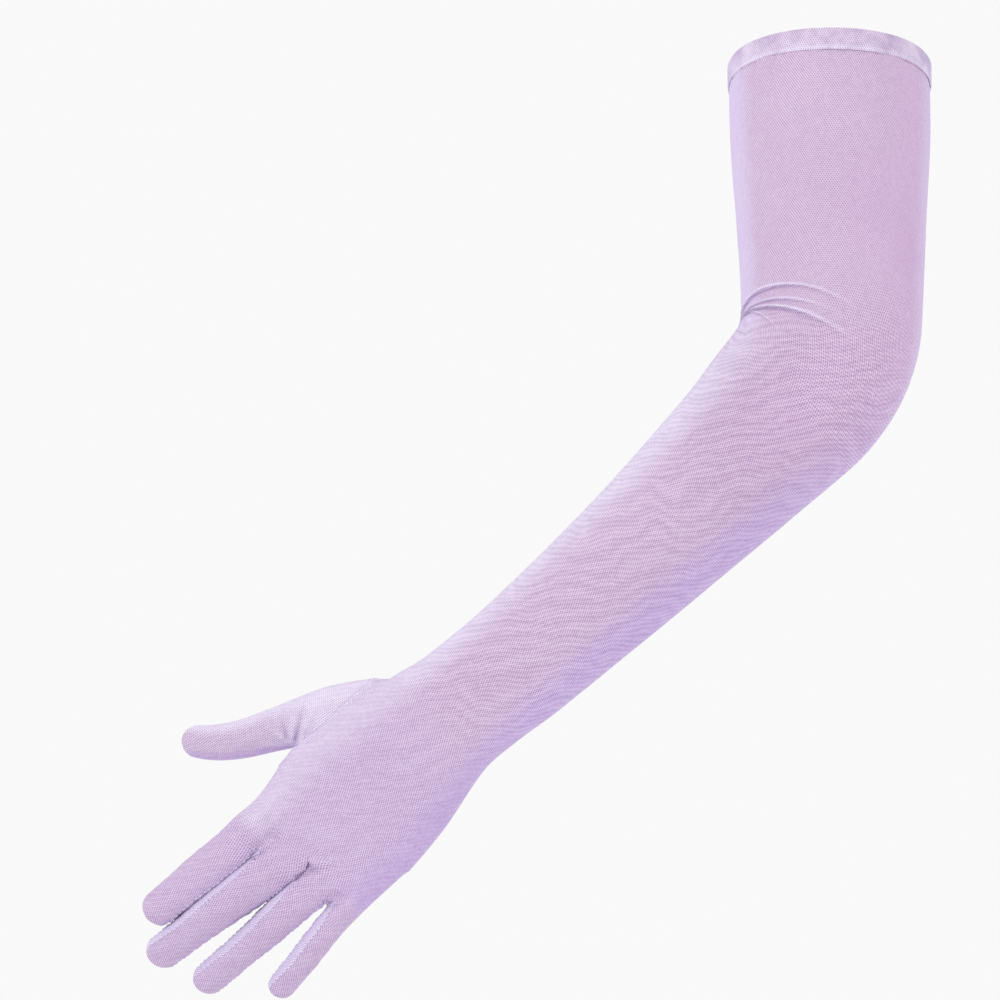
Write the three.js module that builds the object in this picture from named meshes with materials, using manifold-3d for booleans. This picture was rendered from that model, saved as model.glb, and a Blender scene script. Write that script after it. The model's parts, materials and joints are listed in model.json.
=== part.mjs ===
// An opera-length glove of stretch tulle for the left hand, in the shape it takes on a bent arm.
// Millimetres. +X points to the elbow's side, +Y away from the back of the hand, +Z up.
// The origin is the centre of the mouth, where the arm goes in.
import * as THREE from "three";
import { mergeVertices } from "three/addons/utils/BufferGeometryUtils.js";
import Module from "manifold-3d";

const wasm = await Module();
wasm.setup();

// Cloth and sewing
const WALL = 1;
const SEAM_GAP = 0.3;
const HEM_DEPTH = 10.5;
const HEM_WALL = 0.8;
const FOURCHETTE_WIDTH = 8;

// Lengths along the arm, from the mouth to the roots of the fingers
const UPPER_ARM = 152;
const FOREARM = 226.5;
const PALM = 109.5;

// The arm's pose: swings are measured in the front view from straight down, tilts towards the viewer
const UPPER_ARM_TILT = 26;
const FOREARM_SWING = 48;
const HAND_SWING = 44.7;
const ELBOW_EASE = 26;
const WRIST_EASE = 20;

// Widths across the front view and depths through it
const MOUTH_WIDTH = 93;
const MOUTH_DEPTH = 91;
const ELBOW_WIDTH = 82;
const ELBOW_DEPTH = 80;
const WRIST_WIDTH = 56.5;
const WRIST_DEPTH = 39;
const HAND_WIDTH = 77;
const HAND_DEPTH = 29;
const ROOTS_WIDTH = 71;
const ROOTS_DEPTH = 17;

// The middle finger, which the others are shares of, and the thumb at its widest
const FINGER_LENGTH = 80;
const FINGER_WIDTH = 0.2873 * ROOTS_WIDTH;
const THUMB_WIDTH = 26;

// Fineness of the facets
const ARM_SIDES = 24;
const FINGER_SIDES = 10;
const THUMB_SIDES = 14;
const FINGER_RINGS = 4;
const THUMB_RINGS = 8;
const TIP_RINGS = 2;

// How boxy the sections of the fingers and the thumb are: 2 is an ellipse
const FINGER_SQUARE = 2.2;
const THUMB_SQUARE = 2.1;

// How far a cut runs past the cloth that it cuts
const CUT_BEYOND = 8;

const { degToRad, smoothstep, lerp } = THREE.MathUtils;
const AWAY = new THREE.Vector3(0, 1, 0);

// The arm's sections. Along counts limbs: 0 to 1 is the upper arm, 1 to 2 the forearm and 2 to 3 the palm.
// Shift moves a section to the elbow's side, as a share of its width, and square makes it boxier: 2 is an
// ellipse.
const KNUCKLES_DEPTH = lerp(ROOTS_DEPTH, HAND_DEPTH, 0.4);
const ARM_SECTIONS = [
  { along: 0, width: MOUTH_WIDTH, depth: MOUTH_DEPTH, shift: 0, square: 2 },
  { along: 0.25, width: 0.99 * MOUTH_WIDTH, depth: 0.98 * MOUTH_DEPTH, shift: 0, square: 2 },
  { along: 0.5, width: 0.94 * MOUTH_WIDTH, depth: 0.93 * MOUTH_DEPTH, shift: 0, square: 2 },
  { along: 0.75, width: 0.9 * MOUTH_WIDTH, depth: 0.88 * MOUTH_DEPTH, shift: 0, square: 2 },
  { along: 0.95, width: ELBOW_WIDTH, depth: ELBOW_DEPTH, shift: -0.01, square: 2.1 },
  { along: 1.1, width: 0.99 * ELBOW_WIDTH, depth: 0.96 * ELBOW_DEPTH, shift: -0.015, square: 2.1 },
  { along: 1.26, width: 0.9 * ELBOW_WIDTH, depth: 0.88 * ELBOW_DEPTH, shift: 0.02, square: 2 },
  { along: 1.58, width: 0.77 * ELBOW_WIDTH, depth: 0.72 * ELBOW_DEPTH, shift: 0.06, square: 2 },
  { along: 1.87, width: 1.02 * WRIST_WIDTH, depth: 1.1 * WRIST_DEPTH, shift: 0.06, square: 2.1 },
  { along: 2, width: WRIST_WIDTH, depth: WRIST_DEPTH, shift: 0.02, square: 2.2 },
  { along: 2.15, width: 1.06 * WRIST_WIDTH, depth: 0.92 * WRIST_DEPTH, shift: -0.02, square: 2.3 },
  { along: 2.45, width: 0.94 * HAND_WIDTH, depth: 1.1 * HAND_DEPTH, shift: -0.02, square: 2.5 },
  { along: 2.68, width: HAND_WIDTH, depth: HAND_DEPTH, shift: -0.02, square: 2.6 },
  { along: 2.87, width: 0.96 * HAND_WIDTH, depth: KNUCKLES_DEPTH, shift: -0.01, square: 2.6 },
  { along: 2.95, width: 1.01 * ROOTS_WIDTH, depth: 0.95 * ROOTS_DEPTH, shift: 0, square: 2.6 },
  { along: 3, width: 0.97 * ROOTS_WIDTH, depth: 0.6 * ROOTS_DEPTH, shift: 0, square: 2.6 },
];

// Where the arm's rings stand, closest together where the cloth creases in the crook of the elbow.
const ARM_STRETCHES = [
  { from: 0, to: 0.75, rings: 4 },
  { from: 0.75, to: 1.06, rings: 16 },
  { from: 1.06, to: 2, rings: 7 },
  { from: 2, to: 3, rings: 7 },
];

// Creases that fan from the crook of the elbow over the front and the back of the sleeve.
// Turn is how many degrees round the sleeve each one runs, and bow how late it dips towards the elbow.
const CREASE_LIFT = 0.0275 * ELBOW_DEPTH;
const CREASE_WIDTH = 0.0525 * ELBOW_DEPTH;
const CREASES = [
  { from: 0.795, to: 0.97, turn: 118, bow: 3.3, lift: CREASE_LIFT, width: CREASE_WIDTH },
  { from: 0.825, to: 0.945, turn: 96, bow: 1.3, lift: 0.86 * CREASE_LIFT, width: 0.86 * CREASE_WIDTH },
  { from: 0.86, to: 1.02, turn: 106, bow: 1.3, lift: 0.91 * CREASE_LIFT, width: 0.9 * CREASE_WIDTH },
];

// The groove beyond each crease: its depth as a share of the lift, and its place in widths of the crease
const GROOVE_SHARE = 0.5;
const GROOVE_STEP = 1.6;

// The fingers. Length, width and tip are shares of the middle finger's length and width, and depth of the
// roots' depth. Across and out place each root from the palm's axis and end, as shares of the roots' width.
// Swing and curl are in degrees from the palm's axis: swing to the thumb's side, curl to the palm.
const FINGER_ROWS = [
  { name: "index", length: 0.7875, width: 0.961, tip: 0.784, depth: 0.976, across: -0.392, out: 0.06 },
  { name: "middle", length: 1, width: 1, tip: 0.775, depth: 1, across: -0.109, out: 0.03 },
  { name: "ring", length: 0.975, width: 0.882, tip: 0.706, depth: 0.941, across: 0.165, out: -0.03 },
  { name: "little", length: 0.7, width: 0.735, tip: 0.598, depth: 0.824, across: 0.395, out: -0.06 },
];
const FINGER_TURNS = {
  index: { swing: 5, curl: 10, roll: 0 },
  middle: { swing: 7.8, curl: 12, roll: 8 },
  ring: { swing: 4.4, curl: 13, roll: 12 },
  little: { swing: -5.4, curl: 12, roll: 12 },
};
const FINGERS = FINGER_ROWS.map((row) => ({
  ...row,
  ...FINGER_TURNS[row.name],
  length: row.length * FINGER_LENGTH,
  width: row.width * FINGER_WIDTH,
  tip: row.tip * FINGER_WIDTH,
  depth: row.depth * ROOTS_DEPTH,
}));

// Behind its root a finger's form runs on into the palm, and its roll comes in over the first stretch.
const ROOT_REACH = 0.2 * PALM;
const ROOT_RINGS = [
  { share: -1, girth: 0.8 },
  { share: -0.4, girth: 1 },
];
const ROLL_END = 0.3;

// The strips between the fingers. They start a little inside the palm and take up the wall from this share
// of the finger's half width outwards. They narrow from this share of the finger's length to its tip.
const STRIP_START = -0.25;
const STRIP_REACH = 0.3;
const STRIP_TAPER_FROM = 0.6;
const STRIP_TAPER = 0.45;
const STRIP_TIP_GAP = 0.04 * FINGER_LENGTH;

// The thumb's line in the hand: along as a share of the palm's length, across and front of the hand's width.
const THUMB = [
  { along: 0.16, across: -0.17, front: -0.05, width: 0.846 * THUMB_WIDTH, depth: 0.962 * THUMB_WIDTH },
  { along: 0.3, across: -0.36, front: -0.07, width: THUMB_WIDTH, depth: 0.962 * THUMB_WIDTH },
  { along: 0.43, across: -0.5, front: -0.1, width: THUMB_WIDTH, depth: 0.923 * THUMB_WIDTH },
  { along: 0.56, across: -0.605, front: -0.13, width: 0.915 * THUMB_WIDTH, depth: 0.827 * THUMB_WIDTH },
  { along: 0.67, across: -0.69, front: -0.16, width: 0.8 * THUMB_WIDTH, depth: 0.712 * THUMB_WIDTH },
  { along: 0.78, across: -0.778, front: -0.18, width: 0.7 * THUMB_WIDTH, depth: 0.654 * THUMB_WIDTH },
  { along: 0.88, across: -0.89, front: -0.19, width: 0.638 * THUMB_WIDTH, depth: 0.592 * THUMB_WIDTH },
  { along: 0.962, across: -1.035, front: -0.2, width: 0.538 * THUMB_WIDTH, depth: 0.5 * THUMB_WIDTH },
];

// The seam of the thumb piece on the back of the hand, from the wrist to the crotch of the thumb.
const THUMB_SEAM = [
  { along: 0.17, across: -0.6 },
  { along: 0.235, across: -0.45 },
  { along: 0.4, across: -0.455 },
  { along: 0.52, across: -0.465 },
  { along: 0.64, across: -0.49 },
  { along: 0.675, across: -0.53 },
];
const THUMB_SEAM_LEAN = 0.45;

// Beyond the seam, the thumb piece's space is closed by points that lie clear of the thumb on every side.
const THUMB_SPACE = [
  { along: 1.4, across: -1.4 },
  { along: 0.17, across: -1.6 },
];

// Reads a column of a table at a place along it, on a smooth curve through the rows.
function column(rows, place, name) {
  const last = rows.length - 1;
  let i = 0;
  while (i < last - 1 && rows[i + 1].along < place) i++;
  const slope = (k) => {
    const low = Math.max(k - 1, 0);
    const high = Math.min(k + 1, last);
    return (rows[high][name] - rows[low][name]) / (rows[high].along - rows[low].along);
  };
  const span = rows[i + 1].along - rows[i].along;
  const t = THREE.MathUtils.clamp((place - rows[i].along) / span, 0, 1);
  const rise = t * t * (3 - 2 * t);
  return (
    lerp(rows[i][name], rows[i + 1][name], rise) +
    span * t * (1 - t) * ((1 - t) * slope(i) - t * slope(i + 1))
  );
}

// A unit vector along a limb that hangs down, swung towards -X and tilted towards the viewer.
function limbDirection(swing, tilt) {
  const [s, t] = [degToRad(swing), degToRad(tilt)];
  return new THREE.Vector3(-Math.sin(s) * Math.cos(t), -Math.sin(t), -Math.cos(s) * Math.cos(t));
}

// A frame at a place on a curve: side points to the elbow's or little finger's side and front to the viewer.
function frame(centre, tangent, roll = 0) {
  const side = tangent.clone().cross(AWAY).normalize();
  const front = tangent.clone().cross(side);
  side.applyAxisAngle(tangent, degToRad(roll));
  front.applyAxisAngle(tangent, degToRad(roll));
  const at = (x, y, z = 0) =>
    centre.clone().addScaledVector(side, x).addScaledVector(front, y).addScaledVector(tangent, z);
  return { centre, tangent, side, front, at };
}

// The arm's axis: three straight limbs with eased corners.
const upperArmWay = limbDirection(0, UPPER_ARM_TILT);
const forearmWay = limbDirection(FOREARM_SWING, 0);
const handWay = limbDirection(HAND_SWING, 0);
const mouth = new THREE.Vector3(0, 0, 0);
const elbow = mouth.clone().addScaledVector(upperArmWay, UPPER_ARM);
const wrist = elbow.clone().addScaledVector(forearmWay, FOREARM);
const roots = wrist.clone().addScaledVector(handWay, PALM);

function easedCorner(corner, before, after, ease) {
  return new THREE.QuadraticBezierCurve3(
    corner.clone().addScaledVector(before, -ease),
    corner,
    corner.clone().addScaledVector(after, ease),
  );
}

const armAxis = new THREE.CurvePath();
const elbowCorner = easedCorner(elbow, upperArmWay, forearmWay, ELBOW_EASE);
const wristCorner = easedCorner(wrist, forearmWay, handWay, WRIST_EASE);
armAxis.add(new THREE.LineCurve3(mouth, elbowCorner.v0));
armAxis.add(elbowCorner);
armAxis.add(new THREE.LineCurve3(elbowCorner.v2, wristCorner.v0));
armAxis.add(wristCorner);
armAxis.add(new THREE.LineCurve3(wristCorner.v2, roots));

const LIMBS = [UPPER_ARM, FOREARM, PALM];
const ARM_LENGTH = UPPER_ARM + FOREARM + PALM;

// Turns a place counted in limbs into millimetres from the mouth.
function distanceAt(along) {
  const limb = Math.min(Math.floor(along), LIMBS.length - 1);
  return LIMBS.slice(0, limb).reduce((sum, l) => sum + l, 0) + (along - limb) * LIMBS[limb];
}

function armFrame(along) {
  const share = THREE.MathUtils.clamp(distanceAt(along) / ARM_LENGTH, 0, 1);
  return frame(armAxis.getPointAt(share), armAxis.getTangentAt(share).normalize());
}

// How far the creases lift the cloth at a place along the arm and a turn round it from the elbow's side.
// Each one is a ridge with a shallower groove beyond it.
function creaseLift(along, angle) {
  const fromCrook = Math.abs(180 - THREE.MathUtils.radToDeg(angle));
  let lift = 0;
  for (const crease of CREASES) {
    const t = fromCrook / crease.turn;
    if (t > 1) continue;
    const line = lerp(crease.from, crease.to, t ** crease.bow);
    const off = (distanceAt(along) - distanceAt(line)) / crease.width;
    const relief = Math.exp(-off * off) - GROOVE_SHARE * Math.exp(-((off - GROOVE_STEP) ** 2));
    lift += crease.lift * relief * Math.sqrt(t) * (1 - t * t);
  }
  return lift;
}

// A ring of points on a boxy ellipse.
function ring(place, sides, width, depth, { square = 2, shift = 0, lift = () => 0 } = {}) {
  return Array.from({ length: sides }, (_, j) => {
    const angle = (2 * Math.PI * j) / sides;
    const [c, s] = [Math.cos(angle), Math.sin(angle)];
    const raised = lift(angle);
    const x = Math.sign(c) * Math.abs(c) ** (2 / square) * (width / 2) + c * raised + shift;
    const y = Math.sign(s) * Math.abs(s) ** (2 / square) * (depth / 2) + s * raised;
    return place.at(x, y);
  });
}

// A closed mesh through rings of equal count, with a fan over each end.
function loft(rings, start, end) {
  const sides = rings[0].length;
  const middle = (points) =>
    points.reduce((sum, p) => sum.add(p), new THREE.Vector3()).divideScalar(points.length);
  const points = [...rings.flat(), start ?? middle(rings[0]), end ?? middle(rings.at(-1))];
  const [first, last] = [points.length - 2, points.length - 1];
  const faces = [];
  for (let j = 0; j < sides; j++) {
    const k = (j + 1) % sides;
    faces.push(first, k, j);
    for (let i = 0; i < rings.length - 1; i++) {
      const [a, b] = [i * sides + j, i * sides + k];
      faces.push(a, b, b + sides, a, b + sides, a + sides);
    }
    const top = (rings.length - 1) * sides;
    faces.push(last, top + j, top + k);
  }
  return new THREE.BufferGeometry().setFromPoints(points).setIndex(faces);
}

// Turns a closed mesh into a solid that can be cut and joined, and back.
function solid(geometry) {
  const bare = geometry.clone();
  bare.deleteAttribute("normal");
  bare.deleteAttribute("uv");
  const merged = mergeVertices(bare, 1e-4);
  return new wasm.Manifold(
    new wasm.Mesh({
      numProp: 3,
      vertProperties: new Float32Array(merged.attributes.position.array),
      triVerts: new Uint32Array(merged.index.array),
    }),
  );
}

function geometryOf(manifold) {
  const { vertProperties, triVerts } = manifold.getMesh();
  const made = new THREE.BufferGeometry()
    .setAttribute("position", new THREE.BufferAttribute(vertProperties, 3))
    .setIndex(new THREE.BufferAttribute(triVerts, 1));
  return made;
}

const joined = (solids) => solids.reduce((sum, s) => sum.add(s));

const armPlaces = ARM_STRETCHES.flatMap(({ from, to, rings }) =>
  Array.from({ length: rings }, (_, i) => lerp(from, to, i / rings)),
);

// The sleeve and the palm, without fingers. Inset is how far inside the cloth's outer face the solid lies.
function armSolid(inset) {
  const rings = armPlaces.map((along) => armRing(along, inset));
  if (inset > 0) rings.unshift(armRing(0, inset, -2 * HEM_DEPTH));
  const end = armRing(3, inset, -inset);
  return solid(loft([...rings, end]));
}

// A ring of the sleeve, moved by a step along the arm without changing its form.
function armRing(along, inset, step = 0) {
  const place = armFrame(along);
  place.centre.addScaledVector(place.tangent, step);
  const width = column(ARM_SECTIONS, along, "width");
  return ring(place, ARM_SIDES, width - 2 * inset, column(ARM_SECTIONS, along, "depth") - 2 * inset, {
    square: column(ARM_SECTIONS, along, "square"),
    shift: width * column(ARM_SECTIONS, along, "shift"),
    lift: (angle) => creaseLift(along, angle),
  });
}

// The line of a finger: straight out of the palm to its root, then curling towards the palm's side.
function fingerAxis(finger) {
  const hand = armFrame(3);
  const root = hand.at(finger.across * ROOTS_WIDTH, 0, finger.out * ROOTS_WIDTH);
  const way = limbDirection(HAND_SWING + finger.swing, 0);
  const curled = limbDirection(HAND_SWING + finger.swing, -2 * finger.curl);
  const bend = root.clone().addScaledVector(way, finger.length / 2);
  const tip = bend.clone().addScaledVector(curled, finger.length / 2);
  const axis = new THREE.CurvePath();
  axis.add(new THREE.LineCurve3(root.clone().addScaledVector(way, -ROOT_REACH), root));
  axis.add(new THREE.QuadraticBezierCurve3(root, bend, tip));
  return axis;
}

// A frame on a finger, at a share of its length beyond the root, or behind the root if negative.
function fingerFrame(finger, share) {
  const axis = finger.axis;
  const past = THREE.MathUtils.clamp(share, -1, 1);
  const lengths = axis.getCurveLengths();
  const root = lengths[0] / lengths[1];
  const place = past < 0 ? root * (1 + past) : root + (1 - root) * past;
  const roll = -finger.roll * smoothstep(share, 0, ROLL_END);
  return frame(axis.getPointAt(place), axis.getTangentAt(place).normalize(), roll);
}

function fingerSize(finger, share) {
  const slim = Math.max(share, 0);
  const width = lerp(finger.width, finger.tip, slim);
  return { width, depth: (width * finger.depth) / finger.width };
}

// Rings that close a limb in a round tip, as a list of shares of the tip's length and of its girth.
const TIP_ARC = Array.from({ length: TIP_RINGS }, (_, i) => {
  const angle = ((i + 1) / (TIP_RINGS + 1)) * (Math.PI / 2);
  return { ahead: Math.sin(angle), girth: Math.cos(angle) };
});

// The shares of a finger's length where its stretch from root to tip has rings.
function fingerPlaces(finger) {
  const round = finger.tip / 2 / finger.length;
  return Array.from({ length: FINGER_RINGS + 1 }, (_, i) => lerp(0, 1 - round, i / FINGER_RINGS));
}

function fingerSolid(finger, inset) {
  const round = finger.tip / 2 / finger.length;
  const rings = [];
  const addRing = (share, girth) => {
    const { width, depth } = fingerSize(finger, share);
    const size = [width, depth].map((full) => (full - 2 * inset) * girth);
    rings.push(ring(fingerFrame(finger, share), FINGER_SIDES, ...size, { square: FINGER_SQUARE }));
  };
  for (const { share, girth } of ROOT_RINGS) addRing(share, girth);
  for (const share of fingerPlaces(finger)) addRing(share, 1);
  const tipLength = finger.tip / 2 - inset;
  for (const { ahead, girth } of TIP_ARC) addRing(1 - round + (ahead * tipLength) / finger.length, girth);
  const end = fingerFrame(finger, 1 - inset / finger.length).centre;
  return solid(loft(rings, undefined, end));
}

for (const finger of FINGERS) finger.axis = fingerAxis(finger);

// Points of the hand given along, across and in front of the palm's axis, as shares of its length and width.
function handPoint({ along, across, front = 0 }) {
  return frame(wrist, handWay).at(across * HAND_WIDTH, front * HAND_WIDTH, along * PALM);
}

const thumbAxis = new THREE.CatmullRomCurve3(THUMB.map(handPoint));

function thumbSolid(inset) {
  const rows = THUMB.map((row, i) => ({ ...row, along: i / (THUMB.length - 1) }));
  const round = rows.at(-1).width / 2 / thumbAxis.getLength();
  const rings = [];
  const addRing = (share, girth) => {
    const place = frame(thumbAxis.getPointAt(share), thumbAxis.getTangentAt(share).normalize());
    const size = ["width", "depth"].map((name) => (column(rows, share, name) - 2 * inset) * girth);
    rings.push(ring(place, THUMB_SIDES, ...size, { square: THUMB_SQUARE }));
  };
  for (let i = 0; i <= THUMB_RINGS; i++) addRing(lerp(0, 1 - round, i / THUMB_RINGS), 1);
  const tipShare = round - inset / thumbAxis.getLength();
  for (const { ahead, girth } of TIP_ARC) addRing(1 - round + ahead * tipShare, girth);
  return solid(loft(rings, undefined, thumbAxis.getPointAt(1 - inset / thumbAxis.getLength())));
}

// A block that follows a limb: each station is a frame with its lowest and highest side and front.
function sweptBlock(stations) {
  return solid(
    loft(
      stations.map(({ place, side: [x0, x1], front: [y0, y1] }) => [
        place.at(x1, y0),
        place.at(x1, y1),
        place.at(x0, y1),
        place.at(x0, y0),
      ]),
    ),
  );
}

// The thin cuts along both sides of the arm, where the back and the palm panel are sewn together.
function armSeam() {
  const stations = [...armPlaces, 3].map((along) => {
    const place = armFrame(along);
    const half = column(ARM_SECTIONS, along, "width") / 2 + CUT_BEYOND;
    return { place, side: [-half, half], front: [-SEAM_GAP / 2, SEAM_GAP / 2] };
  });
  stations[0].place.centre.addScaledVector(upperArmWay, -CUT_BEYOND);
  stations.at(-1).place.centre.addScaledVector(handWay, WALL);
  return sweptBlock(stations);
}

// The same cut through a finger and round its tip. It runs just past the cloth, clear of the next finger.
function fingerSeam(finger) {
  const places = [ROOT_RINGS.at(-1).share, ...fingerPlaces(finger), 1];
  const stations = places.map((share) => {
    const half = fingerSize(finger, share).width / 2 + WALL / 2;
    return { place: fingerFrame(finger, share), side: [-half, half], front: [-SEAM_GAP / 2, SEAM_GAP / 2] };
  });
  const last = stations.at(-1).place;
  last.centre.addScaledVector(last.tangent, WALL / 2);
  return sweptBlock(stations);
}

// The strip of a finger's wall that a fourchette takes up, on the side given as 1 or -1.
function fourchetteBlock(finger, sign, spare) {
  const places = [STRIP_START, ...fingerPlaces(finger), 1 - STRIP_TIP_GAP / finger.length];
  const stations = places.map((share) => {
    const half = fingerSize(finger, share).width / 2;
    const reach = [STRIP_REACH * half - spare, half + WALL];
    const high = (FOURCHETTE_WIDTH / 2) * (1 - STRIP_TAPER * smoothstep(share, STRIP_TAPER_FROM, 1)) + spare;
    return {
      place: fingerFrame(finger, share),
      side: sign > 0 ? reach : [-reach[1], -reach[0]],
      front: [-high, high],
    };
  });
  const last = stations.at(-1).place;
  last.centre.addScaledVector(last.tangent, spare);
  return sweptBlock(stations);
}

// The space of the thumb piece: the seam's outline, pushed through the hand and leaning into the palm.
function thumbBlock(spare) {
  const point = ({ along, across }, x, y) => new THREE.Vector2(across * HAND_WIDTH + x, along * PALM + y);
  const seam = THUMB_SEAM.map((row) => point(row, spare, 0));
  const space = THUMB_SPACE.map((row) => point(row, 0, -spare));
  const outline = new THREE.Shape([...seam, ...space]);
  const depth = 2 * HAND_DEPTH + CUT_BEYOND;
  const block = new THREE.ExtrudeGeometry(outline, { depth, bevelEnabled: false });
  block.translate(0, 0, -depth / 2);
  const { side, front, tangent } = frame(wrist, handWay);
  const lean = front.clone().negate().addScaledVector(side, THUMB_SEAM_LEAN);
  block.applyMatrix4(new THREE.Matrix4().makeBasis(side, tangent, lean).setPosition(wrist));
  return solid(block);
}

// The turned hem: a channel of doubled cloth that folds over the sleeve's upper edge.
function hemSolid() {
  const outerFace = SEAM_GAP + HEM_WALL;
  const innerFace = -WALL - SEAM_GAP - HEM_WALL;
  const profile = [
    [outerFace, 0],
    [outerFace, HEM_DEPTH],
    [SEAM_GAP, HEM_DEPTH],
    [SEAM_GAP, HEM_WALL],
    [-WALL - SEAM_GAP, HEM_WALL],
    [-WALL - SEAM_GAP, HEM_DEPTH],
    [innerFace, HEM_DEPTH],
    [innerFace, 0],
  ];
  const rings = profile.map(([offset, down]) => armRing(down / UPPER_ARM, -offset));
  const points = rings.flat();
  const faces = [];
  for (let i = 0; i < rings.length; i++) {
    for (let j = 0; j < ARM_SIDES; j++) {
      const [i2, j2] = [(i + 1) % rings.length, (j + 1) % ARM_SIDES];
      const [a, b] = [i * ARM_SIDES + j, i * ARM_SIDES + j2];
      const [c, d] = [i2 * ARM_SIDES + j2, i2 * ARM_SIDES + j];
      faces.push(a, b, c, a, c, d);
    }
  }
  return solid(new THREE.BufferGeometry().setFromPoints(points).setIndex(faces));
}

// The whole skin of the glove, before it is cut along its seams.
function skin() {
  const outer = joined([armSolid(0), thumbSolid(0), ...FINGERS.map((f) => fingerSolid(f, 0))]);
  const inner = joined([armSolid(WALL), thumbSolid(WALL), ...FINGERS.map((f) => fingerSolid(f, WALL))]);
  const topCut = [-2 * HEM_DEPTH, HEM_WALL + SEAM_GAP].map((offset) => {
    const place = armFrame(0);
    place.centre.addScaledVector(place.tangent, offset);
    return { place, side: [-MOUTH_WIDTH, MOUTH_WIDTH], front: [-MOUTH_DEPTH, MOUTH_DEPTH] };
  });
  return outer.subtract(inner).subtract(sweptBlock(topCut));
}

const glove = new THREE.Group();
const tulle = { metalness: 0, roughness: 0.75 };
const materials = {
  panel: new THREE.MeshStandardMaterial({ ...tulle, color: 0xd2b6dc }),
  strip: new THREE.MeshStandardMaterial({ ...tulle, color: 0xdac6e6 }),
  hem: new THREE.MeshStandardMaterial({ ...tulle, color: 0xd8c0e4 }),
};

function addPiece(name, shape, material) {
  const mesh = new THREE.Mesh(geometryOf(shape), material);
  mesh.name = name;
  glove.add(mesh);
}

const whole = skin();
const pairs = FINGERS.slice(1).map((next, i) => [FINGERS[i], next]);
const stripSpace = ([one, next], spare) =>
  fourchetteBlock(one, 1, spare).add(fourchetteBlock(next, -1, spare));

const seams = joined([armSeam(), ...FINGERS.map(fingerSeam)]);
const taken = joined([seams, thumbBlock(SEAM_GAP), ...pairs.map((pair) => stripSpace(pair, SEAM_GAP))]);
const panels = whole
  .subtract(taken)
  .decompose()
  .sort((a, b) => a.boundingBox().min[1] - b.boundingBox().min[1]);

addPiece("back_panel", panels[0], materials.panel);
addPiece("palm_panel", panels.at(-1), materials.panel);
addPiece("thumb_piece", whole.intersect(thumbBlock(0)), materials.panel);
for (const pair of pairs) {
  const [one, next] = pair.map((finger) => finger.name);
  addPiece(`fourchette_${one}_${next}`, whole.intersect(stripSpace(pair, 0)), materials.strip);
}
addPiece("hem_band", hemSolid(), materials.hem);

export default glove;
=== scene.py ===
# %% [markdown]
# # A long glove of lilac tulle
#
# This lesson dresses a CAD model of an opera glove. The model gives the place and the size of each sewn
# piece. Here each one becomes a sheet of stretch net, with its seams, its creases and its stitches.
# The whole glove is shaped first as one smooth skin, and is then cut along its seams, because cloth that
# is stretched over a hand runs smoothly from one piece into the next.

# %% Load the frame
import json
import math

import bmesh
import bpy
import numpy as np
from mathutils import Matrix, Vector, bvhtree, kdtree, noise

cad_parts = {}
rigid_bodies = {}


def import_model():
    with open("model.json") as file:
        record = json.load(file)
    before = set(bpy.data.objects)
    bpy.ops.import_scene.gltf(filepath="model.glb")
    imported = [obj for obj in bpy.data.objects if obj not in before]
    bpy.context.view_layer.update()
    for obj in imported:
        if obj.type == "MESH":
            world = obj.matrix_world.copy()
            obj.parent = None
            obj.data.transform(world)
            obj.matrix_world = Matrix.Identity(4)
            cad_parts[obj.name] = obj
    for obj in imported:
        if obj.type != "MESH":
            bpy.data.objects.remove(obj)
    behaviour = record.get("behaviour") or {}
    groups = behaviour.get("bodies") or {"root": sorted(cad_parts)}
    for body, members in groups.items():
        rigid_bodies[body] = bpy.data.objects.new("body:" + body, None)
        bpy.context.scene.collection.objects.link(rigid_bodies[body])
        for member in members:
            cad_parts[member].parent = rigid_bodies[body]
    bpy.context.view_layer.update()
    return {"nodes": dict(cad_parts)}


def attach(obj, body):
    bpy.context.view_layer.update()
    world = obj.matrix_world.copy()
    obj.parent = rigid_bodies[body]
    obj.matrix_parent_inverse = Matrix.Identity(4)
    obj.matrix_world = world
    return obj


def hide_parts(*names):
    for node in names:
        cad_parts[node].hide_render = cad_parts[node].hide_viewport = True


for leftover in list(bpy.data.objects):
    bpy.data.objects.remove(leftover)
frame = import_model()
MM = 0.001

# %% [markdown]
# ## The arm's line
#
# A glove has no shape of its own: it takes that of the arm. The arm is a line with two eased corners, at
# the elbow and at the wrist, and a cross section at each place along it. A curve object with a bevel could
# make a round tube, but an arm is wider than it is deep and changes all the way, so the sections come
# from a short table. The lengths and widths are those of the CAD model, in millimetres.

# %% Sizes of the arm
UPPER_ARM, FOREARM, PALM = 152, 226.5, 109.5
UPPER_ARM_TILT, FOREARM_SWING, HAND_SWING = 26, 48, 44.7
ELBOW_EASE, WRIST_EASE = 26, 20
MOUTH_WIDTH, MOUTH_DEPTH = 93, 91
ELBOW_WIDTH, ELBOW_DEPTH = 82, 80
WRIST_WIDTH, WRIST_DEPTH = 56.5, 39
HAND_WIDTH, HAND_DEPTH = 77, 29
ROOTS_WIDTH, ROOTS_DEPTH = 71, 17
AWAY = np.array([0.0, 1.0, 0.0])


def unit(v):
    return v / np.linalg.norm(v, axis=-1, keepdims=True)


def way(swing, tilt=0):
    """The direction of a limb that hangs down, swung towards -X and tilted towards the viewer."""
    s, t = math.radians(swing), math.radians(tilt)
    return np.array([-math.sin(s) * math.cos(t), -math.sin(t), -math.cos(s) * math.cos(t)])


# %% [markdown]
# A limb's line is stored as many points with a frame at each: one way along, one across and one to the
# front. Blender's curves carry such frames too, but they can turn on their own where a curve is straight.
# Here the way across lies in the picture's plane, so a width in the tables is a width in the photograph.

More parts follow.
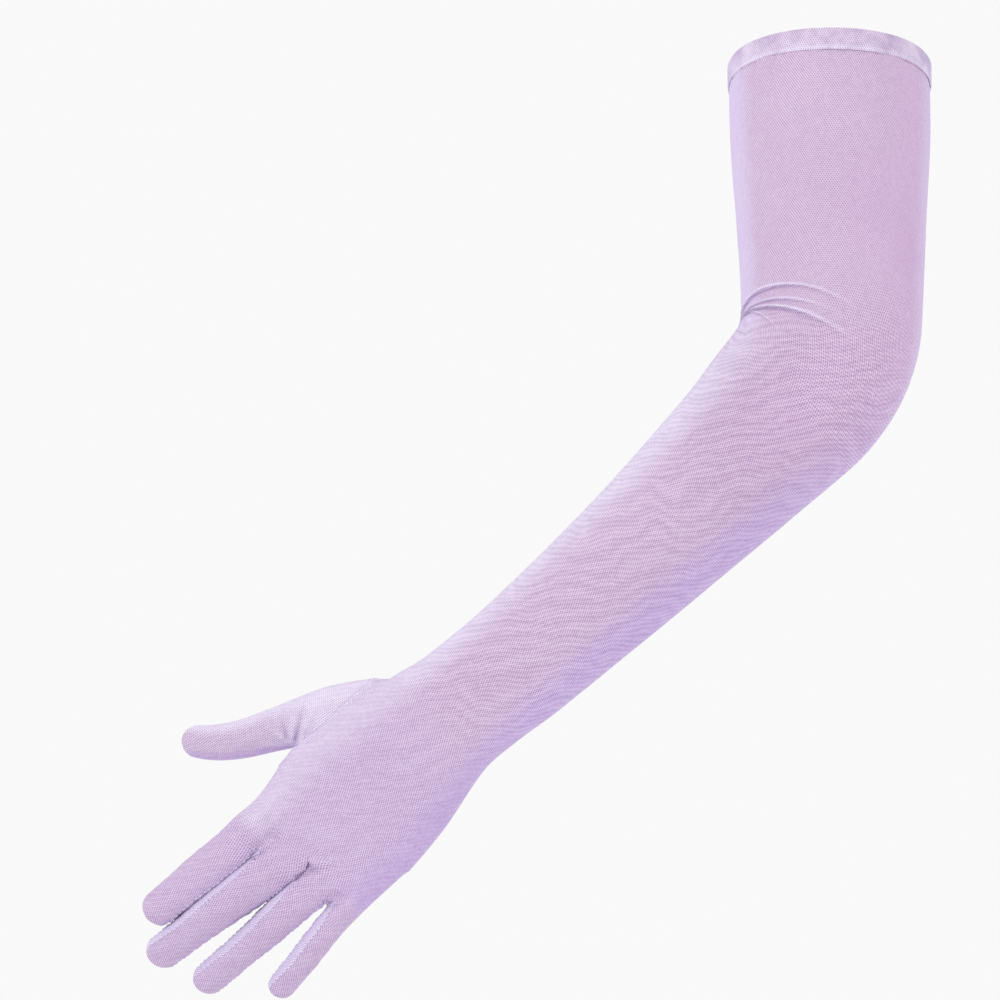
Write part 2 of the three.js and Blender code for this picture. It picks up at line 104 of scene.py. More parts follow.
# %% A line with eased corners
def bezier(a, b, c, count):
    """Points on a curve from a to c that leaves and arrives along the straight lines through b."""
    t = np.linspace(0, 1, count)[:, None]
    return (1 - t) ** 2 * a + 2 * t * (1 - t) * b + t**2 * c


def evenly(points, count):
    """The same line, with points at equal steps along it."""
    steps = np.linalg.norm(np.diff(points, axis=0), axis=1)
    run = np.concatenate([[0], np.cumsum(steps)])
    places = np.linspace(0, run[-1], count)
    return np.stack([np.interp(places, run, points[:, k]) for k in range(3)], axis=1), run[-1]


class Line:
    """A curve in space with a frame at each place: side runs across the limb and front to the viewer."""

    def __init__(self, points, roll=None):
        self.points, self.length = evenly(points, 900)
        self.tangent = unit(np.gradient(self.points, axis=0))
        self.side = unit(np.cross(self.tangent, AWAY))
        self.front = np.cross(self.tangent, self.side)
        if roll is not None:
            turn = np.radians(roll(np.linspace(0, 1, 900)))[:, None]
            side, front = self.side, self.front
            self.side = side * np.cos(turn) + front * np.sin(turn)
            self.front = front * np.cos(turn) - side * np.sin(turn)
        self.tree = kdtree.KDTree(len(self.points))
        for i, p in enumerate(self.points):
            self.tree.insert(p, i)
        self.tree.balance()

    def at(self, share, x=0.0, y=0.0, ahead=0.0):
        """The point at a share of the length, moved across, to the front and ahead."""
        spot = np.clip(np.asarray(share, float), 0, 1) * (len(self.points) - 1)
        low = np.minimum(spot.astype(int), len(self.points) - 2)
        t = (spot - low)[..., None]

        def mix(rows):
            return rows[low] * (1 - t) + rows[low + 1] * t

        x, y, ahead = (np.asarray(value)[..., None] for value in (x, y, ahead))
        moved = mix(self.points) + mix(self.side) * x
        return moved + mix(self.front) * y + mix(self.tangent) * ahead

    def locate(self, cloud):
        """Share, side, front and distance from the line, for each point of a cloud."""
        near = [self.tree.find(p) for p in cloud]
        index = np.array([n[1] for n in near])
        off = cloud - self.points[index]
        along = np.sum(off * self.tangent[index], axis=1)
        share = index / (len(self.points) - 1) + along / self.length
        side = np.sum(off * self.side[index], axis=1)
        front = np.sum(off * self.front[index], axis=1)
        return share, side, front, np.array([n[2] for n in near])


mouth = np.zeros(3)
elbow = mouth + way(0, UPPER_ARM_TILT) * UPPER_ARM
wrist = elbow + way(FOREARM_SWING) * FOREARM
roots = wrist + way(HAND_SWING) * PALM
upper_way, forearm_way, hand_way = way(0, UPPER_ARM_TILT), way(FOREARM_SWING), way(HAND_SWING)
arm = Line(
    np.concatenate(
        [
            np.linspace(mouth, elbow - upper_way * ELBOW_EASE, 200),
            bezier(elbow - upper_way * ELBOW_EASE, elbow, elbow + forearm_way * ELBOW_EASE, 200),
            np.linspace(elbow + forearm_way * ELBOW_EASE, wrist - forearm_way * WRIST_EASE, 200),
            bezier(wrist - forearm_way * WRIST_EASE, wrist, wrist + hand_way * WRIST_EASE, 100),
            np.linspace(wrist + hand_way * WRIST_EASE, roots, 200),
        ]
    )
)
print("the arm's line is", round(arm.length, 1), "mm long from the mouth to the fingers' roots")

# %% [markdown]
# ## Cross sections
#
# Each row of the table is a section at a place that counts limbs: 0 to 1 is the upper arm, 1 to 2 the
# forearm and 2 to 3 the palm. A smooth curve through the rows gives every section between. Square makes
# an ellipse boxier, as a palm is.

# %% The arm's sections
ARM_SECTIONS = [
    {"along": 0, "width": MOUTH_WIDTH, "depth": MOUTH_DEPTH, "shift": 0, "square": 2},
    {"along": 0.25, "width": 0.99 * MOUTH_WIDTH, "depth": 0.98 * MOUTH_DEPTH, "shift": 0, "square": 2},
    {"along": 0.5, "width": 0.94 * MOUTH_WIDTH, "depth": 0.93 * MOUTH_DEPTH, "shift": 0, "square": 2},
    {"along": 0.75, "width": 0.9 * MOUTH_WIDTH, "depth": 0.88 * MOUTH_DEPTH, "shift": 0, "square": 2},
    {"along": 0.95, "width": ELBOW_WIDTH, "depth": ELBOW_DEPTH, "shift": -0.01, "square": 2.1},
    {"along": 1.1, "width": 0.99 * ELBOW_WIDTH, "depth": 0.96 * ELBOW_DEPTH, "shift": -0.015, "square": 2.1},
    {"along": 1.26, "width": 0.9 * ELBOW_WIDTH, "depth": 0.88 * ELBOW_DEPTH, "shift": 0.02, "square": 2},
    {"along": 1.58, "width": 0.77 * ELBOW_WIDTH, "depth": 0.72 * ELBOW_DEPTH, "shift": 0.06, "square": 2},
    {"along": 1.87, "width": 1.02 * WRIST_WIDTH, "depth": 1.1 * WRIST_DEPTH, "shift": 0.06, "square": 2.1},
    {"along": 2, "width": WRIST_WIDTH, "depth": WRIST_DEPTH, "shift": 0.02, "square": 2.2},
    {"along": 2.15, "width": 1.06 * WRIST_WIDTH, "depth": 0.92 * WRIST_DEPTH, "shift": -0.02, "square": 2.3},
    {"along": 2.45, "width": 0.94 * HAND_WIDTH, "depth": 1.1 * HAND_DEPTH, "shift": -0.02, "square": 2.5},
    {"along": 2.68, "width": HAND_WIDTH, "depth": HAND_DEPTH, "shift": -0.02, "square": 2.6},
    {"along": 2.87, "width": 0.96 * HAND_WIDTH, "depth": 21.8, "shift": -0.01, "square": 2.6},
    {"along": 2.95, "width": 1.01 * ROOTS_WIDTH, "depth": 0.95 * ROOTS_DEPTH, "shift": 0, "square": 2.6},
    {"along": 3, "width": 0.97 * ROOTS_WIDTH, "depth": 0.6 * ROOTS_DEPTH, "shift": 0, "square": 2.6},
]
LIMBS = [UPPER_ARM, FOREARM, PALM]
ARM_LENGTH = sum(LIMBS)


def column(rows, place, name):
    """A column of a table at a place along it, on a smooth curve through its rows."""
    last = len(rows) - 1
    i = 0
    while i < last - 1 and rows[i + 1]["along"] < place:
        i += 1

    def slope(k):
        low, high = rows[max(k - 1, 0)], rows[min(k + 1, last)]
        return (high[name] - low[name]) / (high["along"] - low["along"])

    span = rows[i + 1]["along"] - rows[i]["along"]
    t = min(max((place - rows[i]["along"]) / span, 0), 1)
    rise = t * t * (3 - 2 * t)
    ends = rows[i][name] * (1 - rise) + rows[i + 1][name] * rise
    return ends + span * t * (1 - t) * ((1 - t) * slope(i) - t * slope(i + 1))


def arm_share(along):
    """Turns a place counted in limbs into a share of the arm's line."""
    return np.interp(along, range(4), np.concatenate([[0], np.cumsum(LIMBS)])) / ARM_LENGTH


def limbs(share):
    """The other way: a share of the arm's line into a place counted in limbs."""
    return np.interp(share * ARM_LENGTH, np.concatenate([[0], np.cumsum(LIMBS)]), range(4))


# %% [markdown]
# A section becomes a ring of points, and a closed mesh is drawn through the rings. The ring is a boxy
# ellipse, which a curve's bevel can't give, and its first point always lies at the limb's side.

# %% Rings of points
def oval(width, depth, square, sides=72):
    """A boxy ellipse, as its points' sides and fronts. It starts at the side and turns to the front."""
    angle = np.arange(sides) * 2 * np.pi / sides
    c, s = np.cos(angle), np.sin(angle)
    return (
        np.sign(c) * np.abs(c) ** (2 / square) * width / 2,
        np.sign(s) * np.abs(s) ** (2 / square) * depth / 2,
    )


def loft(rings, tip=None):
    """A closed mesh through rings of equal count: its points and its faces."""
    rings = [np.asarray(r) for r in rings]
    sides = len(rings[0])
    end = rings[-1].mean(axis=0) if tip is None else tip
    points = np.concatenate([*rings, [rings[0].mean(axis=0)], [end]])
    first, last = len(points) - 2, len(points) - 1
    faces = []
    for j in range(sides):
        k = (j + 1) % sides
        faces.append((first, k, j))
        faces.append((last, (len(rings) - 1) * sides + j, (len(rings) - 1) * sides + k))
        for i in range(len(rings) - 1):
            a, b = i * sides + j, i * sides + k
            faces.append((a, b, b + sides, a + sides))
    return points, faces


# The form runs on above the mouth, so that its cut edge there is clean, and stops inside the fingers' roots.
MOUTH_RUN_ON = 8
PALM_END = 2.94


def arm_form():
    """The arm and the palm, from above the mouth to the fingers' roots."""
    rings = []
    for along in np.concatenate([[0], np.linspace(0, PALM_END, 150)]):
        width = column(ARM_SECTIONS, along, "width")
        x, y = oval(width, column(ARM_SECTIONS, along, "depth"), column(ARM_SECTIONS, along, "square"))
        shift = width * column(ARM_SECTIONS, along, "shift")
        ahead = 0 if rings else -MOUTH_RUN_ON
        rings.append(arm.at(np.full(len(x), arm_share(along)), x + shift, y, np.full(len(x), ahead)))
    return loft(rings)


arm_points, arm_faces = arm_form()
print("the arm's form has", len(arm_faces), "faces")

# %% [markdown]
# ## Fingers and thumb
#
# The fingers lie so close together that a remesh would weld them. So they are shaped spread apart, and
# are closed to their real angles after the skin is made. Posing a rig would do the same, but each finger
# has its own line already, and a point that knows its place on one line can be set down on another.

# %% The fingers' lines
FINGERS = [
    {"name": "index", "across": -0.392, "out": 0.06, "length": 63, "width": 19.6, "tip": 16, "depth": 16.6,
     "swing": 5, "curl": 10, "roll": 0, "spread": 16, "hinge": 9},
    {"name": "middle", "across": -0.109, "out": 0.03, "length": 80, "width": 20.4, "tip": 15.8, "depth": 17,
     "swing": 7.8, "curl": 12, "roll": 24, "spread": 5, "hinge": 12},
    {"name": "ring", "across": 0.165, "out": -0.03, "length": 78, "width": 18, "tip": 14.4, "depth": 16,
     "swing": 4.4, "curl": 13, "roll": 26, "spread": -6, "hinge": 11},
    {"name": "little", "across": 0.395, "out": -0.06, "length": 56, "width": 15, "tip": 12.2, "depth": 14,
     "swing": -5.4, "curl": 12, "roll": 26, "spread": -14, "hinge": 4},
]
ROOT_REACH = 22
MIDDLE_JOINT = 0.42
SLIM_PLACE = 0.66


def smooth(t):
    """0 below 0 and 1 above 1, with a soft rise between."""
    t = np.clip(t, 0, 1)
    return t * t * (3 - 2 * t)


def finger_line(finger, spread):
    """The finger's line when it is turned by spread about a hinge that lies behind its root."""
    root = arm.at(1.0, finger["across"] * ROOTS_WIDTH, 0.0, finger["out"] * ROOTS_WIDTH)
    swing = HAND_SWING + finger["swing"] + spread
    root = root + (way(swing) - way(swing - spread)) * finger["hinge"]
    straight, curled = way(swing), way(swing, -2 * finger["curl"])
    bend = root + straight * finger["length"] / 2
    points = bezier(root, bend, bend + curled * finger["length"] / 2, 400)
    return Line(points, roll=lambda share: -finger["roll"] * smooth(share / 0.3))


def finger_girth(finger, share):
    """The finger's width and depth. It swells a little at the middle joint and is slimmer past it."""
    share = np.maximum(share, 0)
    swell = 1 + 0.022 * np.exp(-(((share - MIDDLE_JOINT) / 0.12) ** 2))
    swell = swell - 0.015 * np.exp(-(((share - SLIM_PLACE) / 0.1) ** 2))
    width = (finger["width"] + (finger["tip"] - finger["width"]) * share) * swell
    return width, width * finger["depth"] / finger["width"]


def finger_form(finger):
    """The finger as it is spread, from deep inside the palm to its round tip."""
    line = finger["open"]
    length = finger["length"]
    round_share = finger["tip"] / 2 / length
    rings = []

    def add(share, girth, ahead=0.0):
        width, depth = finger_girth(finger, share)
        x, y = oval(width * girth, depth * girth, 2.2, 48)
        rings.append(line.at(np.full(len(x), max(share, 0)), x, y, np.full(len(x), ahead)))

    for back in (-ROOT_REACH, -0.4 * ROOT_REACH):
        add(0, 0.8 if back < -10 else 1, back)
    for share in np.linspace(0, 1 - round_share, 30):
        add(share, 1)
    for angle in np.linspace(0, np.pi / 2, 9)[1:-1]:
        add(1 - round_share + round_share * math.sin(angle), math.cos(angle))
    return loft(rings, tip=line.at(1.0))


for finger in FINGERS:
    finger["open"] = finger_line(finger, finger["spread"])
    finger["closed"] = finger_line(finger, 0)
finger_forms = [finger_form(f) for f in FINGERS]
print("finger lengths:", {f["name"]: round(f["closed"].length, 1) for f in FINGERS})

# %% [markdown]
# The thumb leaves the hand near the wrist and swings away from it, so a straight line with one bend is too
# stiff for it. Its line is a smooth curve through eight points, given as shares of the palm's length and
# the hand's width, and each point has a width and a depth of its own.

# %% The thumb's line
THUMB = [
    {"along": 0.16, "across": -0.17, "front": -0.05, "width": 22, "depth": 25},
    {"along": 0.3, "across": -0.36, "front": -0.07, "width": 26, "depth": 25},
    {"along": 0.43, "across": -0.5, "front": -0.1, "width": 26, "depth": 24},
    {"along": 0.56, "across": -0.605, "front": -0.13, "width": 23.8, "depth": 21.5},
    {"along": 0.67, "across": -0.69, "front": -0.16, "width": 20.8, "depth": 18.5},
    {"along": 0.78, "across": -0.778, "front": -0.18, "width": 18.2, "depth": 17},
    {"along": 0.88, "across": -0.89, "front": -0.19, "width": 16.6, "depth": 15.4},
    {"along": 0.962, "across": -1.035, "front": -0.2, "width": 14, "depth": 13},
]
hand_side = unit(np.cross(hand_way, AWAY))
hand_front = np.cross(hand_way, hand_side)


def in_hand(along, across, front=0.0):
    """A point of the hand, from shares of the palm's length and the hand's width."""
    return wrist + hand_way * along * PALM + hand_side * across * HAND_WIDTH + hand_front * front * HAND_WIDTH


def through(points, count):
    """A smooth curve through points: a centripetal Catmull-Rom spline."""
    p = np.concatenate([[2 * points[0] - points[1]], points, [2 * points[-1] - points[-2]]])
    out = []
    for i in range(len(points) - 1):
        q = p[i : i + 4]
        knots = np.concatenate([[0], np.cumsum(np.linalg.norm(np.diff(q, axis=0), axis=1) ** 0.5)])
        for t in np.linspace(knots[1], knots[2], count, endpoint=i == len(points) - 2):
            level = list(q)
            for spans in ([(0, 1), (1, 2), (2, 3)], [(0, 2), (1, 3)], [(1, 2)]):
                level = [
                    (level[k] * (knots[b] - t) + level[k + 1] * (t - knots[a])) / (knots[b] - knots[a])
                    for k, (a, b) in enumerate(spans)
                ]
            out.append(level[0])
    return np.array(out)


thumb_spine = through(np.array([in_hand(r["along"], r["across"], r["front"]) for r in THUMB]), 30)
thumb = Line(thumb_spine)
THUMB_ROWS = [{**row, "along": i / (len(THUMB) - 1)} for i, row in enumerate(THUMB)]


def thumb_form():
    """The thumb, from inside the hand to its round tip."""
    round_share = THUMB[-1]["width"] / 2 / thumb.length
    rings = []

    def add(share, girth):
        width, depth = (column(THUMB_ROWS, share, name) * girth for name in ("width", "depth"))
        x, y = oval(width, depth, 2.1, 48)
        rings.append(thumb.at(np.full(len(x), share), x, y))

    for share in np.linspace(0, 1 - round_share, 44):
        add(share, 1)
    for angle in np.linspace(0, np.pi / 2, 9)[1:-1]:
        add(1 - round_share + round_share * math.sin(angle), math.cos(angle))
    return loft(rings, tip=thumb.at(1.0))


thumb_points, thumb_faces = thumb_form()
print("the thumb's line is", round(thumb.length, 1), "mm long")

# %% [markdown]
# ## One skin
#
# The forms overlap where the fingers leave the palm. A boolean would join them with hard creases there.
# The voxel remesh joins them too, and gives even faces on which the folds can be drawn. A few rounds of
# smoothing then take the steps out of it, and make webs between the fingers.

# %% Join the forms and remesh them
VOXEL = 1.3
SMOOTHING_ROUNDS = 5


def mesh_object(name, points, faces):
    """A new object with this mesh, in the scene."""
    mesh = bpy.data.meshes.new(name)
    mesh.from_pydata([tuple(p) for p in points], [], faces)
    obj = bpy.data.objects.new(name, mesh)
    bpy.context.scene.collection.objects.link(obj)
    return obj


def joined_forms(forms):
    """The points and faces of several forms as those of one."""
    points, faces = [], []
    for form_points, form_faces in forms:
        base = sum(len(p) for p in points)
        points.append(form_points)
        faces.extend(tuple(base + i for i in face) for face in form_faces)
    return np.concatenate(points), faces


def remeshed(forms):
    """One closed skin round all the forms, with faces about a voxel wide."""
    obj = mesh_object("forms", *joined_forms(forms))
    remesh = obj.modifiers.new("remesh", "REMESH")
    remesh.mode = "VOXEL"
    remesh.voxel_size = VOXEL
    soften = obj.modifiers.new("soften", "SMOOTH")
    soften.factor = 0.5
    soften.iterations = SMOOTHING_ROUNDS
    evaluated = obj.evaluated_get(bpy.context.evaluated_depsgraph_get()).to_mesh()
    points = np.empty(len(evaluated.vertices) * 3)
    evaluated.vertices.foreach_get("co", points)
    faces = [tuple(p.vertices) for p in evaluated.polygons]
    bpy.data.objects.remove(obj)
    return points.reshape(-1, 3), faces


skin_points, skin_faces = remeshed([(arm_points, arm_faces), (thumb_points, thumb_faces), *finger_forms])
print("the skin has", len(skin_points), "points and", len(skin_faces), "faces")

# %% [markdown]
# ## Seams
#
# The pieces meet at seams, and each seam is where some measure over the skin is zero: the distance in
# front of the arm's line for the side seams, the distance from the thumb piece's outline for the thumb.
# Faces that a seam crosses are cut along it, so the sewn edges come out clean. A knife tool would need a
# drawn line, while a measure works at every point.

# %% Where each point lies
THUMB_SEAM = [
    {"along": 0.17, "across": -0.6},
    {"along": 0.235, "across": -0.45},
    {"along": 0.4, "across": -0.455},
    {"along": 0.52, "across": -0.465},
    {"along": 0.64, "across": -0.49},
    {"along": 0.675, "across": -0.53},
]
THUMB_SEAM_LEAN = 0.45
FOURCHETTE_WIDTH = 8
TIP_END = 3.2
CLOSING = 10


def strip_half(share):
    """Half the width of a strip between the fingers, which narrows towards their tips."""
    return FOURCHETTE_WIDTH / 2 * (1 - 0.45 * smooth((share - 0.6) / 0.4))


class Places:
    """Where points lie on the arm, on the nearest finger and on the thumb, in the spread form."""

    def __init__(self, cloud):
        self.cloud = cloud
        self.share, self.side, self.front, _ = arm.locate(cloud)
        self.limb = limbs(self.share)
        found = [f["open"].locate(cloud) for f in FINGERS]
        near = np.array([place[3] for place in found])
        self.finger = np.argmin(near, axis=0)
        rows = np.arange(len(cloud))
        pick = [np.array([place[k] for place in found])[self.finger, rows] for k in range(3)]
        self.f_share, self.f_side, self.f_front = pick
        self.f_length = np.array([f["length"] for f in FINGERS])[self.finger]
        self.reach = self.f_share * self.f_length
        self.hinge = np.array([f["hinge"] for f in FINGERS], float)[self.finger]
        self.half = np.array([finger_girth(f, 0)[0] for f in FINGERS])[self.finger] / 2
        near_finger = 1 - smooth(near.min(axis=0) / self.half - 1.6)
        self.closing = smooth((self.reach + self.hinge) / (self.hinge + CLOSING)) * near_finger
        self.t_share, self.t_side, self.t_front, self.t_off = thumb.locate(cloud)
        self.panel_field = self.front * (1 - self.closing) + self.f_front * self.closing
        self.thumb_field = self._thumb_field()
        self.strip_field = self._strip_field()

    def _thumb_field(self):
        """Distance inside the thumb piece's outline, which leans as it goes through the hand."""
        off = self.cloud - wrist
        depth = off @ hand_front
        across = off @ hand_side + depth * THUMB_SEAM_LEAN
        flat = np.stack([across, off @ hand_way], axis=1)
        seam = [(row["across"] * HAND_WIDTH, row["along"] * PALM) for row in THUMB_SEAM]
        outline = np.array([*seam, (-1.4 * HAND_WIDTH, 1.4 * PALM), (-1.6 * HAND_WIDTH, seam[0][1])])
        distance = np.full(len(flat), 1e9)
        inside = np.zeros(len(flat), bool)
        for a, b in zip(outline, np.roll(outline, -1, axis=0)):
            t = np.clip(((flat - a) @ (b - a)) / np.sum((b - a) ** 2), 0, 1)[:, None]
            distance = np.minimum(distance, np.linalg.norm(flat - a - t * (b - a), axis=1))
            rises = (a[1] > flat[:, 1]) != (b[1] > flat[:, 1])
            crossing = a[0] + (flat[:, 1] - a[1]) * (b[0] - a[0]) / (b[1] - a[1] if b[1] != a[1] else 1e-9)
            inside ^= rises & (flat[:, 0] < crossing)
        return np.where(inside, distance, -distance)

    def _strip_field(self):
        """Distance inside the strips between the fingers, as millimetres, negative outside."""
        field = strip_half(self.f_share) - np.abs(self.f_front)
        field = np.minimum(field, self.f_length - TIP_END - self.reach)
        inner = np.where(self.finger == 0, 1, np.where(self.finger == 3, -1, 0))
        faces_gap = np.where(inner == 0, np.abs(self.f_side), self.f_side * inner)
        field = np.minimum(field, faces_gap - 0.3 * self.half)
        return np.minimum(field, self.reach + self.hinge)


print("the strips between the fingers are", FOURCHETTE_WIDTH, "mm wide at the roots")

# %% [markdown]
# A seam has to be a row of edges, or the two pieces beside it would meet in a staircase of small faces.
# So each edge that a seam crosses gets a new point just where the measure is zero, and the new points are
# joined across the faces. The sleeve's mouth is cut in the same way, and what is above it is taken off.

# %% Cut the skin along its seams
MOUTH_CUT = 0.3


def cut(bm, values):
    """Splits the faces of a mesh where a value that each point has passes through zero."""
    crossing = [e for e in bm.edges if values[e.verts[0].index] * values[e.verts[1].index] < 0]
    fresh = []
    for edge in crossing:
        a, b = edge.verts
        share = values[a.index] / (values[a.index] - values[b.index])
        fresh.append(bmesh.utils.edge_split(edge, a, share)[1])
    bmesh.ops.connect_verts(bm, verts=fresh)
    bm.verts.index_update()
    bm.verts.ensure_lookup_table()


def cloud_of(bm):
    """The places of all points of a mesh."""
    return np.array([v.co for v in bm.verts], dtype=float)


skin = bmesh.new()
for p in skin_points:
    skin.verts.new(p)
skin.verts.ensure_lookup_table()
for face in skin_faces:
    skin.faces.new([skin.verts[i] for i in face])
skin.verts.index_update()
cut(skin, cloud_of(skin) @ upper_way - MOUTH_CUT)
above = [v for v in skin.verts if v.co.dot(upper_way) < MOUTH_CUT - 1e-4]
bmesh.ops.delete(skin, geom=above, context="VERTS")
skin.verts.index_update()
for field in ("thumb_field", "panel_field", "strip_field"):
    cut(skin, getattr(Places(cloud_of(skin)), field))
print("after the cuts the skin has", len(skin.verts), "points")

# %% [markdown]
# ## Folds
#
# Stretch net is drawn smooth over the arm and creases only where the arm bends. Long folds fan from the
# crook of the elbow, and short ones gather at the crotch of the thumb and beside the fingers. A cloth
# simulation would find folds of its own, in other places. These follow the photograph, so each one is a
# row of a table, and moves the skin's points out of it or into it.
#
# A fold at the elbow is a curve through the places that its row gives, counted in lengths of the upper
# arm, at turns in degrees round the sleeve from the crook. It rises slowly on the hem's side and falls off
# steeply on the wrist's side.

# %% The elbow's folds
CREASES = [
    {"lift": 1.15, "turns": [0, 8, 31, 52, 69, 89, 112],
     "at": [0.852, 0.838, 0.822, 0.833, 0.856, 0.882, 0.92]},
    {"lift": 0.8, "turns": [0, 12, 29, 48, 65, 81, 98],
     "at": [0.884, 0.88, 0.882, 0.89, 0.902, 0.916, 0.932]},
    {"lift": 1.35, "turns": [0, 12, 31, 48, 65, 84, 110],
     "at": [0.899, 0.905, 0.914, 0.926, 0.94, 0.954, 0.977]},
    {"lift": 0.6, "turns": [0, 10, 25, 43, 60], "at": [0.873, 0.885, 0.93, 0.99, 1.04]},
    {"lift": 0.35, "turns": [0, 10, 22, 34], "at": [1.078, 1.08, 1.084, 1.09]},
]
RISE = 2.3
FALL = 0.65


def crease_distances(share, turn):
    """For each fold: the millimetres from its crest to each point, towards the wrist, and its strength there."""
    out = []
    for row in CREASES:
        end = row["turns"][-1]
        line = np.polyval(np.polyfit(row["turns"], row["at"], 3), np.clip(turn, 0, end))
        fade = (0.35 + 0.65 * smooth(turn / 14)) * (1 - smooth((turn - 0.45 * end) / (0.55 * end)))
        out.append((share * ARM_LENGTH - line * UPPER_ARM, fade * (turn < end)))
    return out


def elbow_lift(share, turn):
    """How far the folds lift the skin. Turn is in degrees round the sleeve from the crook."""
    lift = np.zeros(len(share))
    for row, (off, fade) in zip(CREASES, crease_distances(share, turn)):
        crest = np.where(off < 0, np.exp(-((off / RISE) ** 2)), np.exp(-((off / FALL) ** 2)))
        groove = 0.45 * np.exp(-(((off - 2 * FALL) / FALL) ** 2))
        lift += row["lift"] * (crest - groove) * fade
    return lift


def elbow_painted_light_and_shade(share, turn):
    """How much painted highlight each point gets on a fold's crest, and how much painted shade just past it."""
    crest, shade = np.zeros(len(share)), np.zeros(len(share))
    for row, (off, fade) in zip(CREASES, crease_distances(share, turn)):
        strength = row["lift"] ** 0.5 * fade
        crest = np.maximum(crest, strength * np.exp(-(((off + 0.45) / 0.8) ** 2)))
        shade = np.maximum(shade, strength * np.exp(-(((off - 0.75) / 0.5) ** 2)))
    return crest, shade


print(len(CREASES), "folds cross the elbow, up to", max(row["lift"] for row in CREASES), "mm high")

# %% [markdown]
# The hand's folds are short and nearly straight: six where the thumb pulls the net away from the hand, and
# four between the fingers' roots. Each runs from one point to another, given as shares of the palm's
# length and the hand's width, and fades along its way. A groove is a fold with a negative lift.

# %% Short folds drawn on the hand
HAND_FOLDS = [
    {"start": (0.655, -0.53), "end": (0.56, -0.665), "lift": 1.1, "width": 1.3},
    {"start": (0.65, -0.55), "end": (0.66, -0.68), "lift": 0.9, "width": 1.1},
    {"start": (0.665, -0.56), "end": (0.735, -0.665), "lift": 1.0, "width": 1.2},
    {"start": (0.62, -0.52), "end": (0.45, -0.62), "lift": 0.8, "width": 1.5},
    {"start": (0.62, -0.555), "end": (0.5, -0.66), "lift": -0.7, "width": 1.0},
    {"start": (0.645, -0.6), "end": (0.6, -0.7), "lift": -0.6, "width": 0.9},
    {"start": (1.1, -0.235), "end": (1.035, -0.222), "lift": -1.1, "width": 0.9},
    {"start": (1.03, 0.03), "end": (0.95, 0.066), "lift": -0.6, "width": 0.8},
    {"start": (0.96, 0.062), "end": (0.9, 0.12), "lift": -0.5, "width": 1.2},
    {"start": (1.02, 0.255), "end": (0.985, 0.3), "lift": -1.0, "width": 0.9},
]


def hand_folds(cloud):
    """For each fold: the row, the distance from its line as seen from the front, and the share along it."""
    off = cloud - wrist
    flat = np.stack([off @ hand_way, off @ hand_side], axis=1)
    for row in HAND_FOLDS:
        a = np.array([row["start"][0] * PALM, row["start"][1] * HAND_WIDTH])
        b = np.array([row["end"][0] * PALM, row["end"][1] * HAND_WIDTH])
        t = np.clip(((flat - a) @ (b - a)) / np.sum((b - a) ** 2), 0, 1)
        yield row, np.linalg.norm(flat - a - t[:, None] * (b - a), axis=1), t


def hand_lift(cloud):
    """Ridges, or grooves where lift is negative, along straight lines seen from the front of the hand."""
    lift = np.zeros(len(cloud))
    for row, away, t in hand_folds(cloud):
        lift += row["lift"] * np.exp(-((away / row["width"]) ** 2)) * (1 - 0.8 * t)
    return lift * smooth(((cloud - wrist) @ hand_front + 8) / 8)


print(len(HAND_FOLDS), "short folds lie on the hand")

# %% [markdown]
# A sewn seam is never flush. Its allowance makes a low welt, and the thread pulls a fine groove into it.
# On the strips the thread also gathers the net into small puckers. A sculpted brush stroke could draw
# these, but the measures that cut the seams already know how far each point is from them.

# %% Seam welts and the slight unevenness of real cloth
THUMB_WELT = 0.45
GROOVE_WIDTH = 0.45


def seam_lift(now):
    """The seam allowance inside makes a low welt along each seam, with a fine groove in its middle."""

    def welt(distance, height, width):
        groove = 0.55 * height * np.exp(-((distance / GROOVE_WIDTH) ** 2))
        return height * np.exp(-((distance / width) ** 2)) - groove

    off_thumb = smooth((now.t_off - 2) / 6)
    lift = welt(now.thumb_field, THUMB_WELT, 1.3)
    lift += np.where(now.thumb_field < 0, welt(now.panel_field, 0.3, 1.2), 0) * off_thumb
    lift += welt(now.strip_field, 0.35, 0.9) * smooth(now.reach / 4 + 1)
    pucker = np.sin(now.reach * 2 * np.pi / 7 + 1.7 * np.sin(now.reach / 5 + now.finger * 2))
    lift += 0.2 * pucker * np.exp(-(((now.strip_field - 0.8) / 1.6) ** 2)) * now.closing
    return lift


def unevenness(cloud, height=0.22, size=26.0):
    """Low, wide swells, because a worn glove is never quite smooth. Both lengths are in millimetres."""
    return height * np.array([noise.noise(p / size) for p in cloud])


print("the welt of the thumb's seam rises", THUMB_WELT, "mm")

# %% [markdown]
# Now the spread fingers are closed. A point that knows its share, side and front on a finger's spread line
# is set down at the same place on the closed one. Beside the roots of the index, middle and ring fingers
# the real fingers are pressed flat against each other, so their sides bulge by what this table says.
# The skin gets finer faces near the folds first, because a fold's steep side is under a millimetre wide.

# %% How fingers press on each other
PRESSED = [
    {"pair": 0, "from": 0, "to": 44, "ease": 16, "by": 0.6},
    {"pair": 1, "from": -9, "to": 19, "ease": 20, "by": 1.0},
    {"pair": 1, "from": -11, "to": -3, "ease": 9, "by": 1.1},
]


def pressed_by(number, reach, side_on):
    """How far a finger's sides bulge towards the neighbours that they press on, in millimetres."""
    out = np.zeros(len(reach))
    for row in PRESSED:
        if number in (row["pair"], row["pair"] + 1):
            sign = 1 if number == row["pair"] else -1
            bulge = smooth((reach - row["from"] + 4) / 7) * (1 - smooth((reach - row["to"]) / row["ease"]))
            out += sign * row["by"] * bulge * smooth(sign * side_on / (0.45 * FINGERS[number]["width"]))
    return out


print("index and middle press for", PRESSED[0]["to"], "mm, middle and ring for", PRESSED[1]["to"], "mm")


